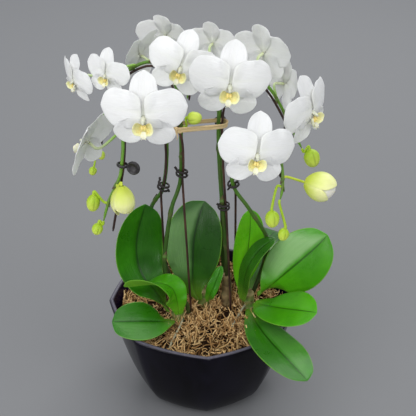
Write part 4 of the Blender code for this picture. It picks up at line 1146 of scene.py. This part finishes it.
def flower_place(centre, angles, span):
    """Turns a flower one span wide, facing +Z with its dorsal sepal at +Y, to its own place."""
    turn, raised, roll = map(math.radians, angles)
    level = math.cos(raised)
    forward = Vector((math.sin(turn) * level, -math.cos(turn) * level, math.sin(raised)))
    up = square_to((0, 0, 1), forward)
    upright = Matrix((up.cross(forward), up, forward)).transposed()
    turned = upright @ Matrix.Rotation(roll, 3, "Z")
    moved = Matrix.Translation(above_medium(centre))
    return moved @ turned.to_4x4() @ Matrix.Scale(0.001 * span, 4)


def placed(place, stations):
    """A blade's stations, taken from a flower's own frame to their place."""
    turned = place.to_3x3().normalized()
    return [(place @ middle, turned @ across, turned @ face) for middle, across, face in stations]


def tepal_swell(share, widest, claw):
    """Width of a sepal or petal at a share of its length. A higher claw narrows the base more."""
    if share < widest:
        return math.sin(0.5 * math.pi * share / widest) ** claw
    return max(0.0, 1 - ((share - widest) / (1 - widest)) ** 2.4) ** 0.56


def add_tepal(body, place, lobe, widest, claw, lift, cup, above, draw):
    """One sepal or petal. Lift is how far forward it starts, and cup how far its edges come forward."""
    direction, length, half_width = lobe
    turn = math.radians(direction + draw.uniform(-2.5, 2.5))
    outwards = heading(turn)
    sideways = heading(turn + 0.5 * math.pi)
    reflex = FLOWER_REFLEX * draw.uniform(0.75, 1.25)
    wave = draw.uniform(0.0, 2 * math.pi)
    waves = draw.uniform(1.6, 2.6)
    tip_curl = draw.uniform(-0.03, 0.03)
    stations, halves = [], []
    for k in range(TEPAL_STATIONS + 1):
        share = 0.03 + 0.97 * k / TEPAL_STATIONS
        reach = share * length
        depth = lift * (1 - share) - reflex * reach**2 / 0.5 + tip_curl * share**4
        middle = outwards * reach + Vector((0, above, depth))
        slope = Vector((0, 0, -2 * reflex * reach / 0.5)) + outwards
        face = square_to((0, 0, 1), slope.normalized())
        stations.append((middle, sideways, face))
        halves.append(half_width * max(0.02, tepal_swell(share, widest, claw)))

    def sag(share, out):
        half = halves[round(share * TEPAL_STATIONS)]
        ripple = 0.013 * math.sin(waves * 2 * math.pi * share + wave + 1.5 * out) * abs(out) ** 3
        midrib = -0.006 * math.exp(-((out / 0.10) ** 2)) * (1 - share)
        return cup * half * out**2 + ripple * math.sin(math.pi * share) + midrib

    def thick(share, out):
        return TEPAL_THICKNESS * (1 - 0.55 * abs(out) ** 3) * (1 - 0.45 * share**3)

    scale = place.to_scale().x
    add_blade(body, placed(place, stations), [scale * half for half in halves], TEPAL_LANES,
              lambda share, out: scale * sag(share, out), lambda share, out: scale * thick(share, out))


def petal_finish(name, heart, vein_strength):
    """Waxy white tissue, with fine sparkling cells, and veins that fan out from the claw."""
    finish = Finish(name, 0.35, [("Sheen Weight", 0.08)], (0.42, (1.0, 0.97, 0.92), 0.0026))
    along, across = finish.marks("along", "across")
    fan = finish.noise(2.6, 2.0, 0.55, 0.5, flat=(across * 7.0, along * 1.4))
    veins = finish.ease(fan, 0.46, 0.62)
    cells = finish.noise(1500.0, 2.0)
    cloud = finish.noise(45.0, 3.0)
    colour = finish.mix(cloud, (0.77, 0.77, 0.765), (0.82, 0.82, 0.81))
    colour = finish.mix(veins * vein_strength, colour, (0.69, 0.69, 0.67))
    base = 1 - finish.ease(along, 0.03, 0.34)
    colour = finish.mix(base * 0.45, colour, heart)
    midrib = (1 - finish.ease(abs(across), 0.02, 0.16)) * (1 - along)
    colour = finish.mix(midrib * 0.24, colour, (0.75, 0.78, 0.66))
    return finish.wear(colour, 0.42 + 0.14 * cells, 0.65 * veins + 0.35 * cells, 0.0004, 0.35)


sepal_white = petal_finish("sepal_white", (0.76, 0.79, 0.60), 0.30)
petal_white = petal_finish("petal_white", (0.81, 0.82, 0.73), 0.24)
for number, (name, (_, _, *plan)) in enumerate(FLOWERS.items()):
    draw = random.Random(100 + number)
    place = flower_place(*plan)
    sepals = Body()
    add_tepal(sepals, place, DORSAL_SEPAL, 0.55, 0.75, 0.012, 0.10, 0.0, draw)
    for lobe in LATERAL_SEPALS:
        add_tepal(sepals, place, lobe, 0.55, 0.70, 0.010, 0.12, 0.0, draw)
    sepals.piece(f"{name}_sepals", sepal_white, "petal", [name], subdivide=1)
    petals = Body()
    for lobe in PETALS:
        add_tepal(petals, place, lobe, 0.55, 0.22, 0.050, -0.10, PETALS_ABOVE, draw)
    petals.piece(f"{name}_petals", petal_white, "petal", [name], subdivide=1)

# ---- Flowers: lips and columns ------------------------------------------------------------------
# The lip has two side lobes that curl up round the column, and a middle lobe like an anchor with two
# thin tendrils. It is white outside, yellow inside with amber specks, and hinged below the column. Painted
# shade greys the upper inside of its cup and the column.

# Shares of the flower's span. The tongue's points are below the cup's middle and forward of it. Those of
# the callus and the horns, which stand on both sides, have how far out they are first.
LIP_MIDDLE = -0.104
TONGUE = ((0.058, 0.050), (0.092, 0.074), (0.120, 0.084), (0.142, 0.080))
CALLUS = ((0.012, -0.010, 0.036), (0.016, 0.002, 0.066), (0.014, 0.026, 0.078))
HORN = ((0.012, 0.132, 0.080), (0.024, 0.142, 0.092), (0.034, 0.132, 0.102))
COLUMN = ((0.0, 0.000, -0.012), (0.0, 0.000, 0.036), (0.0, -0.012, 0.072), (0.0, -0.030, 0.094),
          (0.0, -0.044, 0.100))
COLUMN_CAP = ((0.0, -0.014, 0.086), (0.0, -0.026, 0.104), (0.0, -0.040, 0.112), (0.0, -0.050, 0.108))


def between(values, share):
    """The value at a share of the way through evenly spaced values."""
    at = share * (len(values) - 1)
    low = min(int(at), len(values) - 2)
    return values[low] + (values[low + 1] - values[low]) * (at - low)


def add_ribbon(body, place, points, halves, faces, steps, lanes, curl, thick, tint):
    """A narrow curved blade through points in a flower's own frame. Curl hollows it across."""
    route = smooth_route(points, steps)
    stations, widths = [], []
    scale = place.to_scale().x
    for k, point in enumerate(route):
        share = k / steps
        along = direction_along(route, share)
        normal = square_to(Vector(faces[0]).lerp(Vector(faces[1]), share), along)
        stations.append((point, along.cross(normal), normal))
        widths.append(scale * between(halves, share))
    add_blade(body, placed(place, stations), widths, lanes,
              lambda share, out: curl * widths[round(share * steps)] * out**2,
              lambda share, out: scale * thick * (1 - 0.4 * out**2),
              {"tint": [tint] * (steps + 1)})


def add_rod(body, place, points, radii, sides, tint, squash=1.0):
    steps = 4 * (len(points) - 1)
    shares = [k / steps for k in range(steps + 1)]
    route = [place @ point for point in smooth_route(points, steps)]
    reaches = [place.to_scale().x * between(radii, share) for share in shares]
    even = {mark: [value] * len(shares) for mark, value in (("tint", tint), ("across", 0.0), ("upper", 1.0))}
    body.add(tube_rings(route, reaches, sides, squash=squash), {"along": shares, **even})


def add_lip(body, place):
    """A cup, open above and in front: its two high sides are the side lobes, and its low part the chin."""
    rings, alongs, uppers, acrosses = [], [], [], []
    steps = 26
    depths = [k / 7 for k in range(8)]
    for j in range(steps + 1):
        turn = math.radians(136 + 268 * j / steps)
        side = abs(math.cos(turn))
        outer, inner = [], []
        for depth in depths:
            reach = 0.030 + 0.104 * depth**0.7 * (0.74 + 0.34 * side) * (1 - 0.16 * side * depth**3)
            rise = 0.026 + 0.096 * depth * (0.42 + 0.72 * side**1.5) + 0.006 * math.sin(7 * turn) * depth**4
            middle = Vector((0, LIP_MIDDLE, rise))
            outer.append(place @ (middle + reach * heading(turn)))
            inner.append(place @ (middle + (reach - 0.011 + 0.005 * depth) * heading(turn)))
        rings.append(outer + inner[::-1])
        alongs.append(depths + depths[::-1])
        uppers.append([0.0] * 8 + [1.0] * 8)
        acrosses.append([math.sin(turn)] * 16)
    body.add(rings, {"along": alongs, "upper": uppers, "across": acrosses, "tint": [0.5] * (steps + 1)})
    tongue = [(0.0, LIP_MIDDLE - low, rise) for low, rise in TONGUE]
    faces = ((0.0, 0.75, 0.65), (0.0, 0.25, 1.0))
    add_ribbon(body, place, tongue, (0.020, 0.034, 0.038, 0.010), faces, 12, 8, 0.35, 0.011, 0.22)
    for side in (-1, 1):
        callus = [(out * side, LIP_MIDDLE - low, rise) for out, low, rise in CALLUS]
        add_rod(body, place, callus, (0.018, 0.021, 0.009), 8, 1.0)
        horn = [(out * side, LIP_MIDDLE - low, rise) for out, low, rise in HORN]
        add_rod(body, place, horn, (0.007, 0.005, 0.002), 5, 0.2)


def add_column(body, place):
    add_rod(body, place, COLUMN, (0.032, 0.028, 0.031, 0.025, 0.007), 14, 0.0, squash=0.86)
    add_rod(body, place, COLUMN_CAP, (0.008, 0.021, 0.018, 0.004), 12, 0.04)


def lip_finish():
    finish = Finish("lip_yellow_white", 0.4, flesh=(0.25, (1.0, 0.8, 0.4), 0.0012))
    tint, along, upper, across = finish.marks("tint", "along", "upper", "across")
    speck = finish.ease(finish.noise(950.0, 2.0), 0.58, 0.66)
    cloud = finish.noise(260.0, 3.0)
    cup = finish.ease(tint, 0.30, 0.50) * upper
    rim = finish.ease(along + 0.10 * cloud, 0.55, 0.92)
    # Painted shade: the upper inside of the cup, under the column, is grey-green, going to gold lower down.
    low = 1 - finish.ease(across, -0.75, 0.35)
    throat_shade_to_gold = finish.mix(low, (0.56, 0.57, 0.28), (0.86, 0.74, 0.27))
    gold = finish.mix(cloud, throat_shade_to_gold, (0.88, 0.83, 0.38))
    lemon = finish.mix(cloud, (0.88, 0.87, 0.45), (0.89, 0.88, 0.62))
    colour = finish.mix(cup, (0.80, 0.79, 0.60), finish.mix(rim, gold, lemon))
    colour = finish.mix(finish.ease(tint, 0.70, 1.0), colour, (0.86, 0.70, 0.24))
    colour = finish.mix(speck * cup * (1 - rim) * 0.50, colour, (0.55, 0.24, 0.07))
    shaded = (1 - finish.ease(tint, 0.05, 0.10)) * (1 - 0.6 * finish.ease(along, 0.45, 0.95))
    colour = finish.mix(shaded * 0.80, colour, (0.50, 0.52, 0.42))
    return finish.wear(colour, 0.34 + 0.18 * cloud, cloud, 0.0004, 0.5)


lip_colours = lip_finish()
for name, (_, _, *plan) in FLOWERS.items():
    lip = Body()
    place = flower_place(*plan)
    add_lip(lip, place)
    add_column(lip, place)
    lip.piece(f"{name}_lip", lip_colours, "petal", [name], subdivide=1)

# ---- Flower stalks ------------------------------------------------------------------------------
# Each flower hangs on its own slim stalk, the ovary, faintly ribbed and twisted half a turn. It is pale
# green where it leaves the spike, and almost white where it meets the sepals.

PEDICEL_RADIUS = 0.0011


def stalk_route(spike, share, end, arrive_from):
    """Square off the spike, then round to the back of the flower."""
    route = spike_points(spike)
    point = point_along(route, share)
    along = direction_along(route, share)
    out = along if share == 1.0 else square_to(arrive_from - point, along)
    clear = 2 * CLEARANCE if share == 1.0 else 0.6 * spike_radius(share)
    start = point + out * clear
    return smooth_route([start, start + out * 0.004, arrive_from, end], 22)


def stalk_finish():
    finish = Finish("flower_stalk", 0.5, flesh=(0.2, (0.8, 1.0, 0.4), 0.0012))
    [along] = finish.marks("along")
    patch = finish.noise(160.0, 3.0)
    paler = finish.ease(along + 0.25 * patch, 0.25, 1.15)
    colour = finish.mix(paler, (0.22, 0.42, 0.050), (0.70, 0.76, 0.48))
    return finish.wear(colour, 0.40 + 0.2 * patch, patch, 0.0004, 0.4)


def add_stalk(body, route, radius, swell, fade=1.0):
    """A stalk with five shallow ribs that make half a turn, paler towards its end by this much.

    Swell is the share of the radius that it starts with, what it gains evenly along the way, and what it
    gains at the end, by this power."""
    shares = [i / (len(route) - 1) for i in range(len(route))]
    start, even, late, power = swell
    radii = [radius * (start + even * share + late * share**power) for share in shares]
    rings = tube_rings(route, radii, 15)
    for i, (ring, middle) in enumerate(zip(rings, route)):
        for k, point in enumerate(ring):
            turn = 2 * math.pi * k / 3 + math.pi * i / len(rings)
            ring[k] = middle + (point - middle) * (1 + 0.10 * math.cos(turn))
    body.add(rings, {"along": [fade * share for share in shares]})


pale_stalk = stalk_finish()
for name, (spike, share, *plan) in FLOWERS.items():
    centre = above_medium(plan[0])
    forward = flower_place(*plan).to_3x3().normalized() @ Vector((0, 0, 1))
    route = stalk_route(spike, share, centre - 0.001 * forward, centre - 0.011 * forward)
    stalk = Body()
    add_stalk(stalk, route, PEDICEL_RADIUS, (1.15, -0.25, 0.35, 3))
    stalk.piece(f"{name}_stalk", pale_stalk, "stem", [name])

# ---- Closed buds --------------------------------------------------------------------------------
# Firm egg-shaped buds on stalks of their own. Three sepals meet edge to edge in shallow seams, bright
# yellow-green with a paler bloom, and close to a blunt point.

# Each bud: its spike and where it grows on it, its centre in millimetres above the medium's edge, the way it
# points, and its length and width in millimetres.
BUDS = {
    "bud_01": ("left_front", 0.955, (-94.5, -90.5, 187), (-0.15, -0.1, -1.0), 16.5, 12),
    "bud_02": ("left_front", 1.0, (-92.5, -92, 161), (-0.3, -0.1, -1.0), 11.5, 10),
    "bud_03": ("left_back", 0.955, (-93.5, -27, 200), (0.3, -0.3, -1.0), 9, 7.5),
    "bud_04": ("left_back", 1.0, (-103, -23, 181), (-0.3, -0.1, -1.0), 9, 7.5),
    "bud_05": ("left_back", 0.555, (-7, -34, 241), (0.5, -0.4, 0.2), 15, 12),
    "bud_06": ("middle_right", 1.0, (100, -33, 200), (0.3, -0.2, -1.0), 18, 15),
    "bud_07": ("right_front", 0.965, (61, -93, 172), (0.05, -0.1, -1.0), 16.5, 13),
    "bud_08": ("right_front", 1.0, (71.5, -93, 156), (-0.15, -0.1, -1.0), 12.5, 10),
}


def bud_profile(share):
    """Half width at a share of the length, from the stalk to the round tip."""
    if share < 0.42:
        return math.sin(0.5 * math.pi * share / 0.42) ** 0.58
    return max(0.0, 1 - ((share - 0.42) / 0.58) ** 2.2) ** 0.55


def bud_finish(name, green, pale):
    finish = Finish(name, 0.4, flesh=(0.25, (0.8, 1.0, 0.35), 0.0016))
    along, seam, around = finish.marks("along", "seam", "around")
    streak = finish.noise(2.0, 3.0, flat=(around * 10.0, along * 1.2))
    cloud = finish.noise(120.0, 3.0)
    colour = finish.mix(finish.ease(along + 0.35 * (cloud - 0.5), 0.10, 0.85), green, pale)
    colour = finish.mix(finish.ease(streak, 0.50, 0.75) * 0.30, colour, tuple(0.62 * c for c in green))
    colour = finish.mix(seam * 0.55, colour, tuple(0.50 * c for c in green))
    return finish.wear(colour, 0.36 + 0.20 * cloud, streak + 0.4 * cloud, 0.0004, 0.5)


def add_bud_stalk(body, spike, share, centre, along, length, inset, *stalk):
    """The stalk of a bud, which ends this share of the bud's length inside it."""
    before = centre - along * (0.5 * length + 0.003)
    add_stalk(body, stalk_route(spike, share, centre - along * (0.5 - inset) * length, before), *stalk)


def make_bud_piece(name, plan, finish):
    spike, share_of_spike, centre, points, length, width = plan
    length, width = 0.001 * length, 0.001 * width
    centre = above_medium(centre)
    along = Vector(points).normalized()
    side = square_to((0.3, -0.9, 0.2), along)
    across = along.cross(side)
    rings, seams = [], []
    arounds = [k / 36 for k in range(36)]
    shares = [0.004 + 0.992 * i / 20 for i in range(21)]
    for share in shares:
        middle = centre + along * (share - 0.5) * length
        ring, seam = [], []
        for around in arounds:
            turn = 2 * math.pi * around
            to_seam = abs((3 * around) % 1.0 - 0.5) * 2  # 1 on a seam, 0 between two
            crease = max(0.0, (to_seam - 0.80) / 0.20) ** 2 * math.sin(math.pi * min(1.0, share * 1.1))
            radius = 0.5 * width * bud_profile(share) * (1 - 0.07 * to_seam**2 - 0.07 * crease)
            ring.append(middle + radius * (math.cos(turn) * side + math.sin(turn) * across))
            seam.append(crease)
        rings.append(ring)
        seams.append(seam)
    bud = Body()
    bud.add(rings, {"along": shares, "seam": seams, "around": [arounds] * len(shares)})
    stalk = (min(PEDICEL_RADIUS, 0.11 * width), (1.1, -0.2, 0.5, 4), 0.2)
    add_bud_stalk(bud, spike, share_of_spike, centre, along, length, 0.08, *stalk)
    bud.piece(f"{name}_closed", finish, "bud", [name], subdivide=1)


bud_green = bud_finish("bud_green", (0.34, 0.50, 0.020), (0.58, 0.70, 0.095))
for name, plan in BUDS.items():
    make_bud_piece(name, plan, bud_green)

# ---- Opening buds -------------------------------------------------------------------------------
# Two buds that have begun to open: three green-backed sepals part at their tips round two paler petals.
# The tissue fades from yellow-green at the stalk to cream at the rolled tips.

# Each opening bud has what a closed one has, then how far its sepals and petals reach, how wide the sepals
# are as an angle to each side, and how far their tips bend in.
OPENING_BUDS = {
    "opening_bud_left": ("left_front", 0.905, (-67.5, -102, 196), (0.05, -0.25, -1.0), 26.5, 21,
                         (0.88, 1.0, 1.0), 0.88, 1.10, 0.7),
    "opening_bud_right": ("right_front", 0.94, (102, -83, 199), (0.95, -0.3, -0.15), 28, 26.5,
                          (1.0, 0.86, 0.84), 1.0, 1.07, 0.2),
}


def globe(share):
    """Half width of an opening bud at a share of its length: round, and blunt at the mouth."""
    return math.sin(math.pi * (0.03 + 0.87 * share)) ** 0.58


def bud_frame(centre, along, length):
    """Where a bud's base is, the way it points, and two ways square to that."""
    side = square_to((0.1, -0.2, 1.0), along)
    return centre - 0.5 * length * along, along, side, along.cross(side)


def add_heart(body, frame, length, width, reach):
    """The two petals, still folded over each other inside the sepals, as one lobed globe."""
    base, along, side, across = frame
    rings = []
    steps = 16
    for i in range(steps + 1):
        share = 0.02 + 0.97 * i / steps
        close = math.sqrt(max(0.0, 1 - max(0.0, (share - 0.68) / 0.32) ** 2.6))
        ring = []
        for k in range(30):
            turn = 2 * math.pi * k / 30
            lobed = 1 - 0.06 * abs(math.sin(turn + 0.5))
            radius = 0.5 * width * 0.93 * max(0.02, globe(share) * close) * lobed
            way = math.cos(turn) * side + math.sin(turn) * across
            ring.append(base + along * (reach * share * length) + radius * way)
        rings.append(ring)
    alongs = [i / steps for i in range(steps + 1)]
    body.add(rings, {"along": alongs, "upper": [1.0] * (steps + 1), "tint": [1.0] * (steps + 1)})


def add_hood(body, frame, length, width, turn, spread, reach, tip_in):
    """One sepal: a blunt shell that hugs the globe, from the stalk to a rounded tip."""
    base, along, side, across = frame
    steps = 16
    lanes = 12
    wall = 0.0007
    rings, alongs, uppers, outs_kept = [], [], [], []
    outs = [2 * k / lanes - 1 for k in range(lanes + 1)]
    for i in range(steps + 1):
        share = i / steps
        taper = math.sqrt(max(0.0, 1 - max(0.0, (share - 0.62) / 0.38) ** 2.2))
        radius = 0.5 * width * globe(reach * share) * (1 - tip_in * max(0.0, share - 0.7) ** 1.3)
        outer, inner = [], []
        for out in outs:
            angle = turn + spread * max(0.02, taper) * out
            way = math.cos(angle) * side + math.sin(angle) * across
            rise = base + along * (reach * share * length)
            lifted = radius * (1 + 0.03 * abs(out) ** 3)
            outer.append(rise + lifted * way)
            inner.append(rise + (lifted - wall) * way)
        rings.append(outer + inner[::-1])
        alongs.append(share)
        uppers.append([0.0] * len(outs) + [1.0] * len(outs))
        outs_kept.append(outs + outs[::-1])
    body.add(rings, {"along": alongs, "upper": uppers, "across": outs_kept, "tint": [0.0] * (steps + 1)})


def opening_finish():
    finish = Finish("opening_tissue", 0.35, flesh=(0.30, (0.9, 1.0, 0.5), 0.0018))
    along, tint, across = finish.marks("along", "tint", "across")
    rim = finish.ease(abs(across), 0.55, 1.0)
    streak = finish.noise(2.4, 3.0, flat=(across * 6.0, along * 1.2))
    cloud = finish.noise(130.0, 3.0)
    fade = finish.ease(along + 0.16 * rim + 0.25 * (cloud - 0.5), 0.02, 0.92)
    outer = finish.mix(fade, (0.50, 0.60, 0.050), (0.78, 0.80, 0.36))
    inner = finish.mix(fade, (0.74, 0.78, 0.40), (0.80, 0.78, 0.68))
    colour = finish.mix(tint, outer, inner)
    colour = finish.mix(finish.ease(streak, 0.50, 0.72) * 0.18, colour, (0.52, 0.60, 0.14))
    return finish.wear(colour, 0.40 + 0.15 * cloud, streak, 0.0004, 0.5)


opening_tissue = opening_finish()
for name, (spike, share, centre, points, *size, sepals, petals, spread, tips_in) in OPENING_BUDS.items():
    length, width = (0.001 * span for span in size)
    frame = bud_frame(above_medium(centre), Vector(points).normalized(), length)
    bloom = Body()
    for k, reach in enumerate(sepals):
        add_hood(bloom, frame, length, width, 2 * math.pi * k / 3, spread, reach, tips_in)
    add_heart(bloom, frame, length, width, petals)
    stalk = (PEDICEL_RADIUS, (1, 0, 0, 1), 0.0)
    add_bud_stalk(bloom, spike, share, above_medium(centre), frame[1], length, 0.05, *stalk)
    bloom.piece(f"{name}_tissue", opening_tissue, "bud", [name], subdivide=1)

# ---- Aerial roots -------------------------------------------------------------------------------
# Thick roots that leave the stems above the medium and dive back into it. A silvery spongy skin covers
# a green core, which shows at the growing tips.

ROOT_RADIUS = 0.0011
# Each root: the plant, the side of its stem that it leaves, then points right, back and above the medium
ROOTS = (
    ("left", -60, ((-0.0300, -0.0600, 0.0040), (-0.0330, -0.0680, 0.0020), (-0.0350, -0.0740, -0.0060))),
    ("right", -120, ((0.0350, -0.0300, 0.0045), (0.0300, -0.0390, 0.0015), (0.0270, -0.0450, -0.0060))),
)


def root_finish():
    finish = Finish("silver_root", 0.3)
    [along] = finish.marks("along")
    mottle = finish.noise(300.0, 4.0)
    colour = finish.mix(mottle, (0.20, 0.20, 0.12), (0.46, 0.44, 0.32))
    colour = finish.mix(finish.ease(along, 0.88, 1.0), colour, (0.24, 0.36, 0.08))
    return finish.wear(colour, 0.60 + 0.25 * mottle, mottle, 0.0007)


roots = Body()
for plant, side, way in ROOTS:
    x, y = PLANTS[plant]["place"]
    start = Vector((x, y, medium_height(x, y) + 0.004))
    out = heading(math.radians(side))
    points = [start, start + out * (PLANTS[plant]["radius"] + 0.002) + Vector((0, 0, 0.003))]
    points += [Vector((px, py, medium_height(px, py) + rise)) for px, py, rise in way]
    route = smooth_route(points, 30)
    radii = [ROOT_RADIUS * (1 + 0.12 * math.sin(1.9 * k)) for k in range(31)]
    roots.add(tube_rings(route, radii, 12), {"along": [k / 30 for k in range(31)]})
roots.piece("aerial_roots", root_finish(), "stem", subdivide=1)

# ---- Floor and studio light ---------------------------------------------------------------------
# A plain pale floor, one large soft light in front and above, and a wide one behind and above that
# draws the sheen on the leaves and shines through thin tissue.

FLOOR_HALF = 6.0
floor_mesh = bpy.data.meshes.new("floor")
corners = [(FLOOR_HALF * x, FLOOR_HALF * y, 0.0) for x, y in ((-1, -1), (1, -1), (1, 1), (-1, 1))]
floor_mesh.from_pydata(corners, [], [(0, 1, 2, 3)])
floor_finish = Finish("plain_floor", 0.5, [("Base Color", (0.175, 0.178, 0.184, 1.0)), ("Roughness", 0.9)])
floor_mesh.materials.append(floor_finish.material)
floor = bpy.data.objects.new("floor", floor_mesh)
bpy.context.scene.collection.objects.link(floor)

# Each light: where it stands, where it points, its width and height in metres, and its power in watts
LIGHTS = {
    "key": ((-0.9, -1.5, 1.9), (0.0, 0.0, 0.25), (1.6, 1.3), 22.0),
    "top": ((0.1, -0.7, 2.3), (0.0, 0.0, 0.30), (1.8, 1.4), 16.0),
    "fill": ((1.6, -1.2, 1.1), (0.0, 0.0, 0.25), (1.2, 1.2), 9.5),
    "low left": ((-1.35, -1.32, 0.17), (0.10, 0.0, 0.18), (0.62, 0.28), 8.5),
    "low front": ((0.28, -1.88, 0.19), (-0.02, 0.0, 0.20), (0.38, 0.30), 4.5),
    "back": ((0.3, 1.5, 1.7), (0.0, 0.0, 0.22), (2.4, 1.0), 36.0),
}
for name, (stands, points_at, (width, height), power) in LIGHTS.items():
    lamp = bpy.data.lights.new(name, "AREA")
    lamp.shape = "RECTANGLE"
    lamp.size = width
    lamp.size_y = height
    lamp.energy = power
    held_up = bpy.data.objects.new(name, lamp)
    held_up.location = stands
    held_up.rotation_euler = (Vector(points_at) - Vector(stands)).to_track_quat("-Z", "Y").to_euler()
    bpy.context.scene.collection.objects.link(held_up)

surround = bpy.data.worlds.new("surround")
surround.use_nodes = True
surround.node_tree.nodes["Background"].inputs["Color"].default_value = (0.80, 0.84, 0.90, 1.0)
surround.node_tree.nodes["Background"].inputs["Strength"].default_value = 0.50
bpy.context.scene.world = surround
bpy.context.scene.view_settings.view_transform = "Standard"
